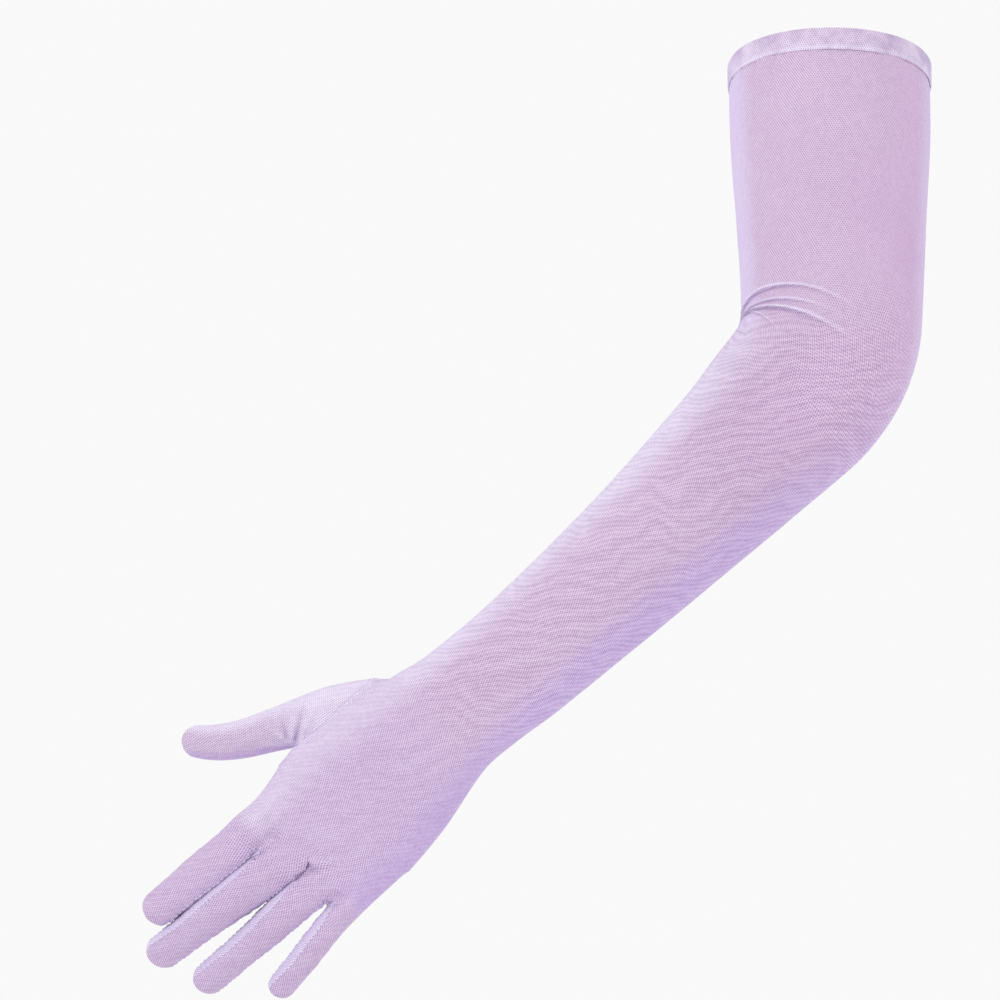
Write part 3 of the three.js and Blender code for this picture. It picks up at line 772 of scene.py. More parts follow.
# %% Finer faces near the folds
def vertex_normals(bm):
    """The skin's outward directions, one for each point."""
    bm.normal_update()
    return np.array([v.normal for v in bm.verts], dtype=float)


def refine(bm, wanted):
    """Splits the faces between wanted points in four, so that a thin fold has points enough."""
    edges = [e for e in bm.edges if wanted[e.verts[0].index] and wanted[e.verts[1].index]]
    bmesh.ops.subdivide_edges(bm, edges=edges, cuts=1, use_grid_fill=True)
    bm.verts.index_update()
    bm.verts.ensure_lookup_table()


def turn_of(side, front):
    """Degrees round the arm from the crook of the elbow, the same to the front and to the palm's side."""
    return np.degrees(np.abs(np.arctan2(front, -side)))


def near_folds(cloud, near):
    """Whether each point lies this near to a fold, or to the thumb's seam."""
    share, side, front, _ = arm.locate(cloud)
    turn = turn_of(side, front)
    elbow = [(np.abs(off) < near) & (fade > 0) for off, fade in crease_distances(share, turn)]
    found = np.any(elbow, axis=0) & (front > -20) & (limbs(share) < 1.25)
    in_front = (cloud - wrist) @ hand_front > -4
    for _, away, _ in hand_folds(cloud):
        found |= (away < near) & in_front
    return found


for near in (6.0, 3.6):
    refine(skin, near_folds(cloud_of(skin), near))
thumb_part = Places(cloud_of(skin))
refine(skin, (np.abs(thumb_part.thumb_field) < 2.6) & (thumb_part.t_off < 40))
print("with finer faces at the folds the skin has", len(skin.verts), "points")

# %% Close the fingers and lay the folds in
SMOOTH_AXES = {"use_axis_x": True, "use_axis_y": True, "use_axis_z": True}


def move_points(bm, cloud):
    """Sets every point of a mesh down at its new place."""
    for vert, place in zip(bm.verts, cloud):
        vert.co = place


now = Places(cloud_of(skin))
closed = now.cloud.copy()
for number, finger in enumerate(FINGERS):
    mine = (now.finger == number) & (now.closing > 0)
    past_tip = np.maximum(now.f_share[mine] - 1, 0) * finger["length"]
    target = finger["closed"].at(now.f_share[mine], now.f_side[mine], now.f_front[mine], past_tip)
    weight = now.closing[mine][:, None]
    closed[mine] = closed[mine] * (1 - weight) + target * weight
    closed[mine] += hand_side * pressed_by(number, now.reach[mine], now.f_side[mine])[:, None]
move_points(skin, closed)
outer = ((now.finger == 0) & (now.f_side < -3)) | ((now.finger == 3) & (now.f_side > 3))
knuckle = (now.reach > -26) & (now.limb > 2.4) & (now.t_off > 16)
between = (now.closing > 0.02) & (now.closing < 0.98)
smoothed = [(outer & knuckle & (now.reach < end), 25) for end in (30, 22, 14)]
for chosen, rounds in (*smoothed, (between, 5)):
    verts = [v for v, c in zip(skin.verts, chosen) if c]
    for _ in range(rounds):
        bmesh.ops.smooth_vert(skin, verts=verts, factor=0.5, **SMOOTH_AXES)
closed = cloud_of(skin)
angle = turn_of(now.side, now.front)
lift = elbow_lift(now.share, angle) * (now.limb < 1.3)
lift += hand_lift(closed) + seam_lift(now) + unevenness(closed)
lifted = closed + vertex_normals(skin) * lift[:, None]
move_points(skin, lifted)
skin_normals = vertex_normals(skin)
print("the folds lift the skin by up to", round(float(lift.max()), 2), "mm")
print("the grooves sink it by up to", round(float(-lift.min()), 2), "mm")

# %% [markdown]
# ## The weave's directions
#
# The net runs along the arm and round it, so its pattern needs two lengths at each point: how far along
# the glove it is, and how far round. They are stored as a UV map in millimetres. Unwrapping would give
# islands with seams of their own, while these lengths follow the limbs.

# %% Lengths along and round
ROUND_STEPS = 360


def arc_table():
    """Arc length from the front's middle, for places along the arm and turns round it, and a bit more."""
    places = np.linspace(0, 3, 91)
    table = []
    for along in places:
        size = [column(ARM_SECTIONS, along, name) for name in ("width", "depth", "square")]
        x, y = oval(*size, ROUND_STEPS)
        step = np.hypot(np.roll(x, -1) - x, np.roll(y, -1) - y)
        run = np.cumsum(np.concatenate([[0], step, step]))
        table.append(run - run[ROUND_STEPS // 4])
    return places, np.array(table)


ARC_PLACES, ARCS = arc_table()
ARM_ROUND = {
    name: np.array([column(ARM_SECTIONS, along, name) for along in ARC_PLACES])
    for name in ("width", "depth", "shift", "square")
}


def arm_weave(now, palm_side):
    """The two lengths on the arm. The palm's side starts a full turn later, so that it has no jump."""
    width, depth, shift, square = (np.interp(now.limb, ARC_PLACES, ARM_ROUND[k]) for k in ARM_ROUND)
    c = (now.side - shift * width) / (width / 2)
    s = now.front / (depth / 2)
    turn = np.arctan2(np.sign(s) * np.abs(s) ** (square / 2), np.sign(c) * np.abs(c) ** (square / 2))
    turn = turn % (2 * np.pi)
    turn = np.where(turn > 1.5 * np.pi, turn - 2 * np.pi, turn) if not palm_side else turn
    turn = np.where(turn < 0.5 * np.pi, turn + 2 * np.pi, turn) if palm_side else np.maximum(turn, 0)
    spot = turn / (2 * np.pi) * ROUND_STEPS
    cell = spot.astype(int)
    row = np.clip(now.limb / 3 * (len(ARC_PLACES) - 1), 0, len(ARC_PLACES) - 1.001)
    low = row.astype(int)
    f, t = spot - cell, row - low
    near = ARCS[low, cell] * (1 - f) + ARCS[low, cell + 1] * f
    far = ARCS[low + 1, cell] * (1 - f) + ARCS[low + 1, cell + 1] * f
    return np.stack([near * (1 - t) + far * t, now.share * ARM_LENGTH], axis=1)


def round_limb(side, front, palm_side):
    """Length round a finger or the thumb, from the middle of its front or of its palm's side."""
    turn = np.arctan2(front, side)
    middle = -np.pi / 2 if palm_side else np.pi / 2
    turn = (turn - middle + np.pi) % (2 * np.pi) - np.pi
    return turn * np.hypot(side, front)


THUMB_WAY = unit(thumb_spine[-1] - thumb_spine[0])
THUMB_SIDE = unit(np.cross(THUMB_WAY, AWAY))
THUMB_FRONT = np.cross(THUMB_WAY, THUMB_SIDE)


def weave(now, kind):
    """The two lengths in millimetres, for each point, for a piece of this kind."""
    if kind == "strip":
        return np.stack([now.f_front * 1.03, now.reach], axis=1)
    if kind == "thumb":
        off = now.cloud - thumb_spine[0]
        return np.stack([round_limb(off @ THUMB_SIDE, off @ THUMB_FRONT, False), off @ THUMB_WAY], axis=1)
    palm_side = kind == "palm"
    out = arm_weave(now, palm_side)
    root = np.array([f["across"] for f in FINGERS])[now.finger] * ROOTS_WIDTH
    half_turn = ARCS[-1, ROUND_STEPS // 4 * 3] if palm_side else 0.0
    sign = 1 if palm_side else -1
    # The knuckles are nearly flat, so the length across is used there as it is.
    half_width, half_depth = (np.interp(now.limb, ARC_PLACES, ARM_ROUND[k]) / 2 for k in ("width", "depth"))
    round_edge = smooth((np.abs(now.side) / half_width - 0.55) / 0.4)
    drop = np.maximum(half_depth - np.abs(now.front), 0) * round_edge
    flat = smooth((now.limb - 2.05) / 0.35)
    level = half_turn + sign * (now.side + np.sign(now.side) * drop)
    out[:, 0] = out[:, 0] * (1 - flat) + level * flat
    turned = smooth((now.reach - 6) / 22)
    across = round_limb(now.f_side, now.f_front, palm_side) * turned + sign * now.f_side * (1 - turned)
    on_finger = np.stack([half_turn + sign * root + across, ARM_LENGTH + now.reach], axis=1)
    weight = smooth((now.reach + now.hinge - 2) / (now.hinge + 12))[:, None] * (now.closing > 0)[:, None]
    return out * (1 - weight) + on_finger * weight


# %% [markdown]
# ## The pieces
#
# The cut skin is dealt out face by face, by the signs of the same measures. Each piece becomes a mesh of
# its own at the origin, in metres, and takes the place of its CAD node. One thin layer is enough for net,
# which is far thinner than the CAD model's walls.

# %% Deal the faces out
PIECES = {
    "back_panel": "back",
    "palm_panel": "palm",
    "thumb_piece": "thumb",
    "fourchette_index_middle": "strip",
    "fourchette_middle_ring": "strip",
    "fourchette_ring_little": "strip",
}
NAMES = list(PIECES)


def piece_of_faces(skin_mesh, now):
    """The number of the piece that each face belongs to, in the order of the table."""
    numbers = []
    for face in skin_mesh.faces:
        index = [v.index for v in face.verts]
        if now.thumb_field[index].mean() > 0:
            numbers.append(2)
        elif now.strip_field[index].mean() > 0:
            finger = int(np.bincount(now.finger[index]).argmax())
            towards_little = now.f_side[index].mean() > 0
            pair = {0: 0, 3: 2}.get(finger, finger if towards_little else finger - 1)
            numbers.append(3 + pair)
        else:
            numbers.append(0 if now.panel_field[index].mean() > 0 else 1)
    return numbers


def take_place(obj, node, material):
    """Gives a mesh its body and its material, and lets it stand for its CAD node."""
    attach(obj, "root")
    if node:
        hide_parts(node)
    obj.data.materials.clear()
    obj.data.materials.append(material)


def build_mesh(name, points, faces, uvs, tints, values=None):
    """A smooth mesh from points in millimetres, with UVs for the faces' corners and tints for the points."""
    obj = mesh_object(name, np.asarray(points) * MM, faces)
    layer = obj.data.uv_layers.new(name="weave")
    layer.data.foreach_set("uv", np.asarray(uvs, float).ravel())
    colour = obj.data.attributes.new("tint", "FLOAT_COLOR", "POINT")
    colour.data.foreach_set("color", np.concatenate([tints, np.ones((len(points), 1))], axis=1).ravel())
    for key, row in (values or {}).items():
        attribute = obj.data.attributes.new(key, "FLOAT", "POINT")
        attribute.data.foreach_set("value", np.asarray(row, float))
    obj.data.polygons.foreach_set("use_smooth", [True] * len(faces))
    obj.data.update()
    return obj


def corner_lengths(faces, lengths, around=None):
    """UVs for the corners of the faces. Where a face spans the jump round a limb, it is closed up."""
    out = []
    for face in faces:
        rows = lengths[list(face)].copy()
        if around is not None:
            full = around[list(face)].mean()
            rows[rows[:, 0] < rows[:, 0].max() - full / 2, 0] += full
        out.append(rows)
    return np.concatenate(out)


numbers = piece_of_faces(skin, now)
skin_polygons = [[v.index for v in f.verts] for f in skin.faces]
skin_tree = bvhtree.BVHTree.FromPolygons([tuple(p) for p in lifted], skin_polygons)
print({name: numbers.count(i) for i, name in enumerate(NAMES)}, "faces")

# %% [markdown]
# ## Net
#
# The cloth is a net of fine threads with a hole about every millimetre. At the photograph's distance a
# hole is two pixels wide, so an image of it would blur or shimmer, and real threads would be millions of
# curves. A shader draws it from the two lengths instead. Its sums are written as plain arithmetic, and
# the class below turns each sign into a node.

# %% A small language for shaders
class Wire:
    """An output of a shader node. Arithmetic on it makes more nodes."""

    def __init__(self, tree, socket):
        self.tree, self.socket = tree, socket

    def fill(self, target, value):
        """Links or sets an input, whichever the value asks for."""
        if isinstance(value, Wire):
            self.tree.links.new(value.socket, target)
        else:
            target.default_value = value

    def node(self, kind, settings=None, inputs=None, output=0):
        """Any other node: its type, its settings, then values or links for its inputs."""
        made = self.tree.nodes.new(kind)
        for key, value in (settings or {}).items():
            setattr(made, key, value)
        for key, value in (inputs or {}).items():
            self.fill(made.inputs[key], value)
        return Wire(self.tree, made.outputs[output])

    def math(self, operation, *values, clamp=False):
        inputs = dict(enumerate(values))
        return self.node("ShaderNodeMath", {"operation": operation, "use_clamp": clamp}, inputs)

    def __add__(self, other):
        return self.math("ADD", self, other)

    def __radd__(self, other):
        return self.math("ADD", other, self)

    def __sub__(self, other):
        return self.math("SUBTRACT", self, other)

    def __rsub__(self, other):
        return self.math("SUBTRACT", other, self)

    def __mul__(self, other):
        return self.math("MULTIPLY", self, other)

    def __rmul__(self, other):
        return self.math("MULTIPLY", other, self)

    def __truediv__(self, other):
        return self.math("DIVIDE", self, other)

    def cos(self):
        return self.math("COSINE", self)

    def steps(self, low, high):
        """0 below low and 1 above high, smooth between."""
        settings = {"interpolation_type": "SMOOTHSTEP"}
        return self.node("ShaderNodeMapRange", settings, {"Value": self, "From Min": low, "From Max": high})

    def mixed(self, one, other):
        """The first colour where this is 0 and the second where it is 1."""
        inputs = {0: self, 6: one, 7: other}
        return self.node("ShaderNodeMix", {"data_type": "RGBA", "clamp_factor": True}, inputs, output=2)


# %% [markdown]
# Three rows of holes cross at sixty degrees, as in a tulle. Noise bends them a little, as stretching does.
# A fine net also shows soft bands like the grain of wood: moiré where it crosses a second layer and its own
# shadow on the arm, so the bands are partly painted shadow. The bent rows alone make too few of them, so two
# slow waves are drawn on the arm as well. A value on the points says where they show. The sheen is weak:
# tulle has no nap, but its many threads catch light at the arm's edges.

# %% The net's material
PITCH = 0.98
WHITE_THREAD = (1.0, 0.98, 1.0, 1.0)
HOLE_SCREEN = (0.845, 0.82, 0.865)
SHEEN_SCREEN = (0.93, 0.88, 1.0)


def linear(r, g, b):
    """A colour given as it looks on the screen, in the numbers that a shader wants."""
    return tuple(c / 12.92 if c <= 0.04045 else ((c + 0.055) / 1.055) ** 2.4 for c in (r, g, b)) + (1.0,)


def net_material(name, contrast=1.0, mottle=0.03, ripples=1.0, sheen=0.35):
    """Net whose threads are lighter than the piece's tint, and whose holes are darker and pinker."""
    material = bpy.data.materials.new(name)
    material.use_nodes = True
    tree = material.node_tree
    tree.nodes.clear()
    out = tree.nodes.new("ShaderNodeOutputMaterial")
    cloth = tree.nodes.new("ShaderNodeBsdfPrincipled")
    tree.links.new(cloth.outputs[0], out.inputs[0])
    start = Wire(tree, None)
    weave_uv = start.node("ShaderNodeUVMap", {"uv_map": "weave"})
    across = start.node("ShaderNodeSeparateXYZ", {}, {0: weave_uv})
    along = Wire(tree, across.socket.node.outputs[1])
    place = start.node("ShaderNodeTexCoord", output=3)
    height = start.node("ShaderNodeSeparateXYZ", {}, {0: place}, output=2) * 1000.0

    def cloud(size, detail=1.0, seed=0.0):
        """Soft noise about 0, between -1 and 1, with blobs of this size in millimetres."""
        inputs = {"Vector": place, "W": seed, "Scale": 1000.0 / size, "Detail": detail}
        return start.node("ShaderNodeTexNoise", {"noise_dimensions": "4D"}, inputs) * 2.0 - 1.0

    u, v = across + cloud(34.0, seed=1.0) * 1.5, along + cloud(30.0, seed=2.0) * 1.7
    turn = 2 * math.pi / PITCH
    twill = ((u * 0.87 + v * 0.5) * turn).cos() * 1.5 + ((u * 0.87 - v * 0.5) * turn).cos() * 0.8
    holes = (twill + (v * turn).cos() * 0.7) / 3.0
    grain = cloud(1.5, detail=2.0, seed=7.0)
    # The two slow waves are moiré bands, partly the net crossing its own shadow on the arm, so they are partly
    # painted shadow.
    ripple = ((height / 1.9 + v / 13.0 + cloud(24.0, seed=3.0) * 2.2) * (2 * math.pi)).cos()
    wave = ((height / 6.5 + v / 30.0 + cloud(30.0, seed=4.0) * 2.6) * (2 * math.pi)).cos()
    shown = start.node("ShaderNodeAttribute", {"attribute_name": "ripple"}, output=2)
    patch = cloud(9.0, detail=2.0, seed=5.0) * mottle + cloud(45.0, detail=1.0, seed=6.0) * 0.07
    fine = (holes * 0.6 + grain * 0.24) * contrast
    shade = fine + (ripple * 0.11 + wave * 0.065) * shown * ripples + patch + 0.5
    tint = start.node("ShaderNodeAttribute", {"attribute_name": "tint"}, output=0)
    light_inputs = {0: 0.34, 6: tint, 7: WHITE_THREAD}
    light = start.node("ShaderNodeMix", {"data_type": "RGBA"}, light_inputs, output=2)
    dark_inputs = {0: 1.0, 6: tint, 7: linear(*HOLE_SCREEN)}
    dark = start.node("ShaderNodeMix", {"data_type": "RGBA", "blend_type": "MULTIPLY"}, dark_inputs, output=2)
    start.fill(cloth.inputs["Base Color"], shade.steps(0.0, 1.0).mixed(light, dark))
    bump_inputs = {"Strength": 0.2, "Distance": 0.0003, "Height": 1.0 - holes}
    start.fill(cloth.inputs["Normal"], start.node("ShaderNodeBump", {}, bump_inputs))
    cloth.inputs["Roughness"].default_value = 0.78
    cloth.inputs["Specular IOR Level"].default_value = 0.25
    cloth.inputs["Sheen Weight"].default_value = sheen
    cloth.inputs["Sheen Roughness"].default_value = 0.45
    cloth.inputs["Sheen Tint"].default_value = linear(*SHEEN_SCREEN)
    return material


net = net_material("lilac net")
strip_net = net_material("lilac net of the strips", ripples=0.0)
hem_net = net_material("doubled lilac net", mottle=0.8, ripples=0.0)
print("three kinds of net, with threads", PITCH, "mm apart")

# %% [markdown]
# ## Colour
#
# Stretched net is thinner where it lies over the widest part of the arm and looks denser where it turns
# away at the sides, where a paler edge is also painted sheen. The cloth has painted light along the thumb's
# side, which faces the key light, and painted shade in a deeper purple along the other.
# These tints change slowly, so one colour at each point of the mesh is enough, and the shader adds the net.

# %% The tints
SCREEN_TINTS = {
    "base": (0.79, 0.664, 0.81),
    "elbow": (0.748, 0.612, 0.765),
    "hand": (0.785, 0.667, 0.835),
    "finger": (0.775, 0.655, 0.822),
    "thumb": (0.782, 0.68, 0.815),
    "gusset": (0.878, 0.822, 0.92),
    "strip": (0.865, 0.81, 0.94),
    "hem": (0.822, 0.735, 0.862),
    "pink": (0.845, 0.668, 0.862),
    # From here on: painted light and highlights (also the pale seam lines and the thread), painted shade on the
    # far side, painted sheen at the edges, painted shade in folds and along seam lines, and painted shadow
    # between pressed fingers.
    "light": (0.9, 0.855, 0.95),
    "painted_shade_violet": (0.765, 0.64, 0.885),
    "painted_sheen_rim": (0.865, 0.795, 0.955),
    "painted_shade_and_seam_line": (0.66, 0.54, 0.74),
    "gap": (0.4, 0.28, 0.52),
}
TINTS = {name: np.array(linear(*rgb)[:3]) for name, rgb in SCREEN_TINTS.items()}
PINK_SPOTS = [
    {"along": 0.62, "side": 22.0, "length": 0.34, "width": 17.0, "strength": 0.45},
    {"along": 1.1, "side": 8.0, "length": 0.16, "width": 22.0, "strength": 0.4},
]


def blend(colours, name, weight):
    """Mixes a tint into the points' colours, by a weight for each point."""
    weight = np.clip(weight, 0, 1)[:, None]
    return colours * (1 - weight) + TINTS[name] * weight


def arm_tints(now):
    """The colour at each point of the arm, the hand and the fingers, with painted light, shade and sheen in it.
    """
    half = np.interp(now.limb, ARC_PLACES, ARM_ROUND["width"]) / 2
    sideways = now.side / half
    on_finger = smooth(now.reach / 12 + 0.5) * (now.closing > 0)
    sideways = sideways * (1 - on_finger) + now.f_side / now.half * on_finger
    colours = np.repeat(TINTS["base"][None], len(half), axis=0)
    colours = blend(colours, "elbow", np.exp(-(((now.limb - 1.15) / 0.22) ** 2)))
    colours = blend(colours, "hand", smooth((now.limb - 1.95) / 0.4))
    colours = blend(colours, "finger", on_finger)
    for spot in PINK_SPOTS:
        off = ((now.limb - spot["along"]) / spot["length"]) ** 2
        off = off + ((now.side - spot["side"]) / spot["width"]) ** 2
        colours = blend(colours, "pink", spot["strength"] * np.exp(-off) * (now.front > 0))
    upper = 1 - smooth((now.limb - 0.9) / 0.4)
    # Painted sheen along both edges of the upper arm, where the net also looks denser.
    colours = blend(colours, "painted_sheen_rim", 0.85 * smooth((-sideways - 0.78) / 0.2) * upper)
    colours = blend(colours, "pink", 0.6 * smooth((sideways - 0.45) / 0.4) * upper)
    colours = blend(colours, "painted_sheen_rim", 0.6 * smooth((sideways - 0.86) / 0.13) * upper)
    lower = (1 - upper) * (1 - 0.5 * on_finger)
    on_hand = smooth((now.limb - 1.95) / 0.3)
    # Painted light along the thumb's side of the forearm and hand, which faces the key light.
    painted_light_towards_thumb = smooth((-sideways - 0.45) / 0.5)
    colours = blend(colours, "light", (0.95 - 0.4 * on_hand) * (1 - on_finger) * painted_light_towards_thumb * lower)
    # Painted shade in a thin line along the strips' edges, and a thin darker line along the side seams.
    strip_edge_painted_shade = np.exp(-((now.strip_field / 0.5) ** 2)) * smooth(now.reach / 4)
    side_seam = np.exp(-((now.panel_field / 0.5) ** 2))
    colours = blend(colours, "painted_shade_and_seam_line", np.maximum(0.4 * strip_edge_painted_shade, 0.3 * side_seam))
    # Painted shade: a deeper purple along the side away from the key light.
    colours = blend(colours, "painted_shade_violet", 0.9 * smooth((sideways - 0.4) / 0.55) * lower)
    return fold_tints(colours, now, closed)


def fold_tints(colours, now, cloud):
    """Painted highlights on the folds' crests, painted shade in their grooves, and painted shadow in the deep
    lines where two fingers press together.
    """
    crest, shade = elbow_painted_light_and_shade(now.share, turn_of(now.side, now.front))
    # Painted highlight on the elbow folds' crests, where the folded net is also denser, and painted shade just
    # past them.
    colours = blend(colours, "light", 0.95 * crest * (now.limb < 1.25))
    colours = blend(colours, "painted_shade_and_seam_line", 0.9 * shade * (now.limb < 1.25))
    # Painted highlight along the hand's ridges and painted shade along its grooves.
    for row, away, t in hand_folds(cloud):
        weight = np.exp(-((away / row["width"]) ** 2)) * (1 - 0.7 * t) * ((cloud - wrist) @ hand_front > -6)
        colours = blend(colours, "light" if row["lift"] > 0 else "painted_shade_and_seam_line", 0.8 * weight)
    # Painted shadow, the 'gap' tint, on the sides of fingers that press against a neighbour.
    pressed_painted_shadow = np.zeros(len(cloud))
    sideways = skin_normals @ hand_side
    for row in PRESSED[:2]:
        past_end = smooth((now.reach - row["to"] - 6) / row["ease"])
        close = smooth((now.reach - row["from"] + 1) / 3) * (1 - past_end)
        edge = np.where(now.finger == row["pair"], smooth((sideways - 0.76) / 0.14), 0)
        edge += np.where(now.finger == row["pair"] + 1, smooth((-sideways - 0.95) / 0.03), 0)
        pressed_painted_shadow = np.maximum(pressed_painted_shadow, close * edge)
    return blend(colours, "gap", 0.85 * pressed_painted_shadow)


print(len(TINTS), "tints, and", len(PINK_SPOTS), "pink spots")

# %% [markdown]
# The thumb piece has a paler gusset near the hand, painted light along its outer side and painted shade in
# deeper purple along the inner side. Its seam shows as a painted highlight along the welt's crest with a thin
# painted shadow beside it. The strips have one tint of their own, which only the folds' painted light and
# shade and the painted shadow between pressed fingers change.

# %% Colour the thumb piece and the strips
# Painted highlight along the crest of the thumb seam's welt, and a thin painted shadow just beside it.
seam_painted_highlight = np.exp(-(((now.thumb_field - 0.1) / 0.55) ** 2))
seam_painted_shadow = np.exp(-(((now.thumb_field - 1.35) / 0.5) ** 2))
colours = blend(arm_tints(now), "light", 0.8 * seam_painted_highlight)
thumb_half = np.interp(now.t_share, [r["along"] for r in THUMB_ROWS], [r["width"] for r in THUMB_ROWS]) / 2
thumb_side = now.t_side / thumb_half
thumb_colours = np.repeat(TINTS["thumb"][None], len(closed), axis=0)
thumb_colours = blend(thumb_colours, "gusset", 1 - smooth((now.t_share - 0.4) / 0.22))
# Painted light along the thumb's outer side and painted shade along its inner side.
thumb_colours = blend(thumb_colours, "light", 0.9 * smooth((-thumb_side - 0.3) / 0.6))
thumb_colours = blend(thumb_colours, "painted_shade_violet", 0.85 * smooth((thumb_side - 0.35) / 0.6))
thumb_colours = blend(thumb_colours, "painted_shade_and_seam_line", 0.45 * seam_painted_shadow)
thumb_colours = blend(fold_tints(thumb_colours, now, closed), "light", 0.9 * seam_painted_highlight)
strip_colours = fold_tints(np.repeat(TINTS["strip"][None], len(closed), axis=0), now, closed)
PIECE_TINTS = {"back": colours, "palm": colours, "thumb": thumb_colours, "strip": strip_colours}
ripple_value = smooth((now.limb - 0.85) / 0.2) * (1 - 0.5 * smooth((now.limb - 1.9) / 0.3))
print("colours for", len(colours), "points of the skin")

# %% Build the panels, the thumb piece and the strips
MATERIALS = {"back": net, "palm": net, "thumb": net, "strip": strip_net}
for number, (name, kind) in enumerate(PIECES.items()):
    faces = [[v.index for v in f.verts] for f, n in zip(skin.faces, numbers) if n == number]
    used = np.unique(np.concatenate([np.array(f) for f in faces]))
    fresh = np.full(len(lifted), -1)
    fresh[used] = np.arange(len(used))
    lengths = weave(now, kind)
    off = now.cloud - thumb_spine[0]
    around = 2 * np.pi * np.hypot(off @ THUMB_SIDE, off @ THUMB_FRONT) if kind == "thumb" else None
    uvs = corner_lengths(faces, lengths, around)
    local = [tuple(int(fresh[i]) for i in f) for f in faces]
    values = {"ripple": ripple_value[used]}
    obj = build_mesh(name + "_cloth", lifted[used], local, uvs, PIECE_TINTS[kind][used], values)
    take_place(obj, name, MATERIALS[kind])
    print(name, len(local), "faces")

# %% [markdown]
# ## Hem
#
# The sleeve's top is turned over once and stitched down, so the hem is a folded band. It is drawn as a
# strip that comes up the outside, rolls over the edge and goes down the inside. A seam ripples the cloth
# beside it a little, so its lower edge isn't quite even. The hem is pulled up a little at both sides,
# because the photograph shows a flatter arch than the tilted mouth alone would give.

# %% The folded band
HEM_DEPTH = 10.5
HEM_SIDES = 320
HEM_RISE = 0.6
HEM_SIDE_RISE = 3.6


def hem_profile():
    """The fold's section, from the outer lower edge to the inner one: how far out and how far down."""
    out = [(0.12, HEM_DEPTH + 0.1), (0.45, HEM_DEPTH), (0.7, HEM_DEPTH - 0.5), (0.62, HEM_DEPTH - 1.3)]
    out += [(0.55, HEM_DEPTH - 1.9), (0.72, HEM_DEPTH - 2.6)]
    out += [(0.8, HEM_DEPTH - 3.6 - k) for k in range(5)]
    out += [(0.85, 1.2), (0.8, 0.5), (0.55, 0.12), (0.0, -0.02)]
    out += [(-0.6, 0.12), (-1.0, 0.5), (-1.2, 1.2)]
    return out + [(-1.2, 3.0 + k) for k in range(0, 7, 2)] + [(-1.1, HEM_DEPTH)]


def hem_band():
    """A ring for each point of the fold's section, with the ripple of its seam."""
    profile = hem_profile()
    angle = np.arange(HEM_SIDES) * 2 * np.pi / HEM_SIDES
    sway = np.array([noise.noise(Vector((3 * math.cos(a), 3 * math.sin(a), 4.0))) for a in angle])
    fine = np.array([noise.noise(Vector((14 * math.cos(a), 14 * math.sin(a), 9.0))) for a in angle])
    rings, uvs = [], []
    run = 0.0
    for k, (out, down) in enumerate(profile):
        if k:
            run += math.hypot(out - profile[k - 1][0], down - profile[k - 1][1])
        along = max(down, 0) / UPPER_ARM
        share = arm_share(along)
        width, depth = (column(ARM_SECTIONS, along, n) for n in ("width", "depth"))
        x, y = oval(width + 2 * out, depth + 2 * out, 2, HEM_SIDES)
        low = smooth((down - 4) / 6)
        swell = (0.22 * fine * low + 0.1 * sway)[:, None]
        outward = np.stack([np.cos(angle), np.sin(angle)], axis=1) * swell
        drop = (0.28 * fine + 0.35 * sway) * low + min(down, 0)
        drop = drop - HEM_RISE * smooth(1 - down / HEM_DEPTH) * np.maximum(np.sin(angle), 0) ** 2
        drop = drop - HEM_SIDE_RISE * np.cos(angle) ** 2
        rings.append(arm.at(np.full(HEM_SIDES, share), x + outward[:, 0], y + outward[:, 1], drop))
        step = np.cumsum(np.hypot(np.diff(x, prepend=x[-1]), np.diff(y, prepend=y[-1])))
        uvs.append(np.stack([step, np.full(HEM_SIDES, HEM_DEPTH - run)], axis=1))
    faces, corners = [], []
    for i in range(len(rings) - 1):
        for j in range(HEM_SIDES):
            k = (j + 1) % HEM_SIDES
            here, below = i * HEM_SIDES, (i + 1) * HEM_SIDES
            faces.append((here + j, below + j, below + k, here + k))
            last = uvs[i][-1, 0] if k == 0 else 0.0
            a, b, c, d = uvs[i][j], uvs[i + 1][j], uvs[i + 1][k].copy(), uvs[i][k].copy()
            c[0] += last
            d[0] += last
            corners.extend([a, b, c, d])
    points = np.concatenate(rings)
    side = arm.locate(points)[1]
    down_at = np.repeat([down for _, down in profile], HEM_SIDES)
    tints = np.repeat(TINTS["hem"][None], len(points), axis=0)
    # Painted sheen: the hem is paler towards its sides.
    tints = blend(tints, "painted_sheen_rim", 0.3 * smooth((np.abs(side) / (MOUTH_WIDTH / 2) - 0.75) / 0.25))
    seam_line = np.exp(-(((down_at - HEM_DEPTH + 1.2) / 0.9) ** 2))
    tints = blend(tints, "light", 0.9 * seam_line)
    return build_mesh("hem_band_cloth", points, faces, corners, tints), rings


hem, hem_rings = hem_band()
take_place(hem, "hem_band", hem_net)
print("the hem has", len(hem.data.polygons), "faces")

# %% [markdown]
# ## Stitches
#
# Each stitch is a short thread that lies in the cloth. Along the strips they show as light dashes. They
# are small rounded rods, set down on the skin where the seam runs, and all those of one seam are one mesh.

# %% Rods along a path
THREAD = net_material("sewing thread", contrast=0.0, mottle=0.0, ripples=0.0)


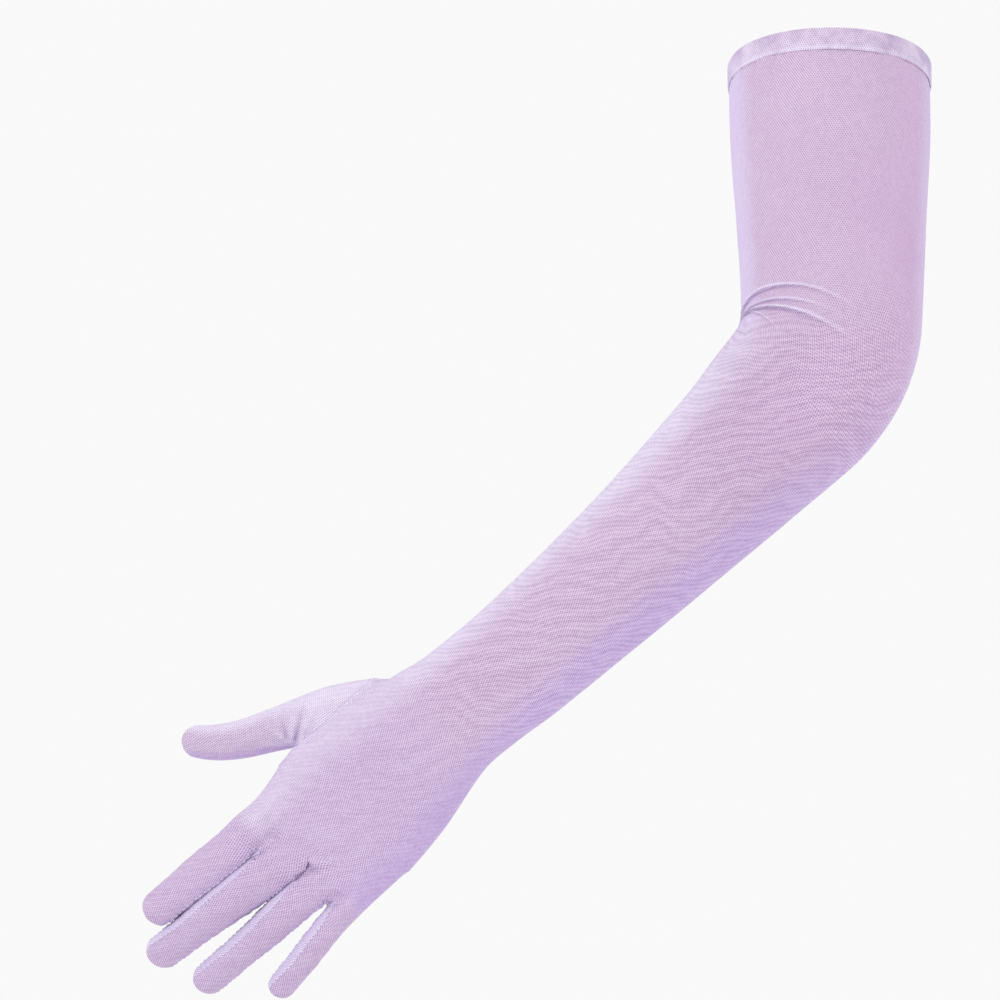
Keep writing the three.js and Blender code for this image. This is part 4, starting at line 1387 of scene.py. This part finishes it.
def rods(starts, ends, normals, radius, lift):
    """Small six-sided rods with tapered ends, from starts to ends, raised off the cloth."""
    points, faces = [], []
    stations = [(0.0, 0.35), (0.15, 0.85), (0.5, 1.0), (0.85, 0.85), (1.0, 0.35)]
    for start, end, normal in zip(starts, ends, normals):
        way_on = unit(end - start)
        side = unit(np.cross(way_on, normal))
        up = np.cross(side, way_on)
        base = len(points)
        for t, girth in stations:
            middle = start + (end - start) * t + normal * (lift * girth)
            for k in range(6):
                a = k * math.pi / 3
                points.append(middle + (side * math.cos(a) + up * math.sin(a)) * radius * girth)
        for i in range(len(stations) - 1):
            for k in range(6):
                a, b = base + i * 6 + k, base + i * 6 + (k + 1) % 6
                faces.append((a, b, b + 6, a + 6))
        faces.append(tuple(base + k for k in range(5, -1, -1)))
        faces.append(tuple(base + (len(stations) - 1) * 6 + k for k in range(6)))
    return points, faces


def stitch_row(path, normals, length, pitch, radius):
    """A row of stitches along a path of points that lie on the cloth."""
    path = np.asarray(path)
    run = np.concatenate([[0], np.cumsum(np.linalg.norm(np.diff(path, axis=0), axis=1))])
    places = np.arange(pitch / 2, run[-1] - length, pitch)

    def on_path(rows, where):
        return np.stack([np.interp(where, run, np.asarray(rows)[:, k]) for k in range(3)], axis=1)

    starts, ends = on_path(path, places), on_path(path, places + length)
    return rods(starts, ends, unit(on_path(normals, places + length / 2)), radius, 0.1)


def stitch_object(name, rows):
    """One mesh from all the stitches of a seam."""
    points, faces = joined_forms([(np.array(p), f) for p, f in rows])
    uvs = np.zeros((sum(len(f) for f in faces), 2))
    obj = build_mesh(name, points, faces, uvs, np.repeat(TINTS["light"][None] * 1.04, len(points), axis=0))
    take_place(obj, None, THREAD)
    print(name, len(faces), "faces")


def on_skin(guess, limit=3.0):
    """The nearest points of the skin and its normals there. A guess too far from it is left out."""
    spots, normals = [], []
    for p in guess:
        spot, normal, _, gap = skin_tree.find_nearest(Vector(p))
        if spot is not None and gap < limit:
            spots.append(np.array(spot))
            normals.append(np.array(normal))
    return np.array(spots), np.array(normals)


# %% [markdown]
# The strips are joined to the panels along both edges, where the thread shows as a row of dashes. The rows
# follow the fingers' closed lines and are set down on the nearest place of the skin.

# %% Stitches beside the strips
rows = []
for number, finger in enumerate(FINGERS):
    shares = np.linspace(0.08, 1 - TIP_END / finger["length"] - 0.02, 70)
    width, depth = finger_girth(finger, shares)
    high = strip_half(shares) + 0.35
    side = width / 2 * (1 - (high / (depth / 2)) ** 2.2) ** (1 / 2.2)
    for sign in (-1, 1):
        if (number == 0 and sign < 0) or (number == 3 and sign > 0):
            continue
        for face in (1, -1):
            spots, normals = on_skin(finger["closed"].at(shares, sign * side, face * high, 0 * shares))
            rows.append(stitch_row(spots, normals, length=1.5, pitch=2.6, radius=0.27))
stitch_object("strip_stitches", rows)

# %% [markdown]
# The thumb piece is sewn in along its outline on both sides of the hand. The outline leans as it goes
# through the hand, so a ray is sent along the lean from either side, and a stitch lies where it meets
# the skin.

# %% Stitches round the thumb piece
seam_corners = np.array([[r["across"] * HAND_WIDTH, r["along"] * PALM, 0] for r in THUMB_SEAM[:-1]])
seam_line = evenly(seam_corners, 120)[0]
lean = -hand_front + hand_side * THUMB_SEAM_LEAN
rows = []
for direction in (1, -1):
    spots, normals = [], []
    for across, along, _ in seam_line:
        middle = wrist + hand_side * across + hand_way * along
        ray = unit(lean) * direction
        spot, normal, _, _ = skin_tree.ray_cast(Vector(middle - ray * 60), Vector(ray))
        if spot is not None:
            spots.append(np.array(spot))
            normals.append(np.array(normal))
    rows.append(stitch_row(spots, normals, length=1.4, pitch=2.2, radius=0.24))
stitch_object("thumb_stitches", rows)

# %% [markdown]
# One row of stitches holds the turned hem down, close above its lower edge.

# %% Stitches of the hem
ring_line = np.concatenate([hem_rings[4], hem_rings[4][:1]])
centre = hem_rings[4].mean(axis=0)
outward = unit(ring_line - centre)
hem_row = stitch_row(ring_line, outward, length=1.6, pitch=2.4, radius=0.24)
stitch_object("hem_stitches", [hem_row])

# %% [markdown]
# ## Studio
#
# The photograph is a product shot on white: white all round, one large soft light from the upper left
# and an even fill. The camera stands far off, because the near hand looks no bigger than it should. A
# wall behind the glove would hide it from behind, so only a floor below it is white paper.

# %% The floor, the lights and the camera
FRAME_WIDTH = 0.46
FAR = 6.0
AIM = Vector((-0.1527, -0.045, -0.1969))
FLOOR_HEIGHT = -0.475


def pale_floor():
    """A flat white floor. It ends behind the glove, just before it would come into the picture."""
    corners = [(-8.0, -9.0), (8.0, -9.0), (8.0, 1.2), (-8.0, 1.2)]
    obj = mesh_object("floor", [(x, y, FLOOR_HEIGHT) for x, y in corners], [(0, 1, 2, 3)])
    paper = bpy.data.materials.new("white paper")
    paper.use_nodes = True
    surface = paper.node_tree.nodes["Principled BSDF"]
    surface.inputs["Base Color"].default_value = (0.95, 0.95, 0.95, 1)
    surface.inputs["Roughness"].default_value = 0.9
    surface.inputs["Specular IOR Level"].default_value = 0.0
    obj.data.materials.append(paper)
    return obj


def soft_light(name, place, size, power, colour=(1, 1, 1)):
    """A round light of this size in metres, turned towards the glove."""
    lamp = bpy.data.lights.new(name, "AREA")
    lamp.shape = "DISK"
    lamp.size = size
    lamp.energy = power
    lamp.color = colour
    obj = bpy.data.objects.new(name, lamp)
    obj.location = place
    obj.rotation_euler = (AIM - Vector(place)).to_track_quat("-Z", "Y").to_euler()
    bpy.context.scene.collection.objects.link(obj)
    return obj


pale_floor()
soft_light("key", (-1.6, -2.0, 1.6), 1.4, 18)
soft_light("fill", (1.9, -2.4, 0.2), 2.0, 4.5, (0.96, 0.94, 1.0))
world = bpy.data.worlds.new("studio")
world.use_nodes = True
world.node_tree.nodes["Background"].inputs["Color"].default_value = (1, 1, 1, 1)
world.node_tree.nodes["Background"].inputs["Strength"].default_value = 0.95
bpy.context.scene.world = world
camera = bpy.data.objects.new("camera", bpy.data.cameras.new("camera"))
camera.data.lens = 36 * FAR / FRAME_WIDTH
camera.data.sensor_width = 36
camera.data.clip_end = 50
camera.location = AIM - Vector((0, FAR, 0))
camera.rotation_euler = (math.pi / 2, 0, 0)
bpy.context.scene.collection.objects.link(camera)
bpy.context.scene.camera = camera
bpy.context.scene.view_settings.view_transform = "Standard"
print("the camera is", FAR, "m away with a", round(camera.data.lens), "mm lens")

# %% [markdown]
# ## The last step
#
# The cloth has to be as large as the CAD model that it stands for. The CAD nodes that it replaces are hidden
# from the render.

# %% Hide the CAD nodes and finish
for node in PIECES:
    frame["nodes"][node].hide_render = True
frame["nodes"]["hem_band"].hide_render = True
skin.free()
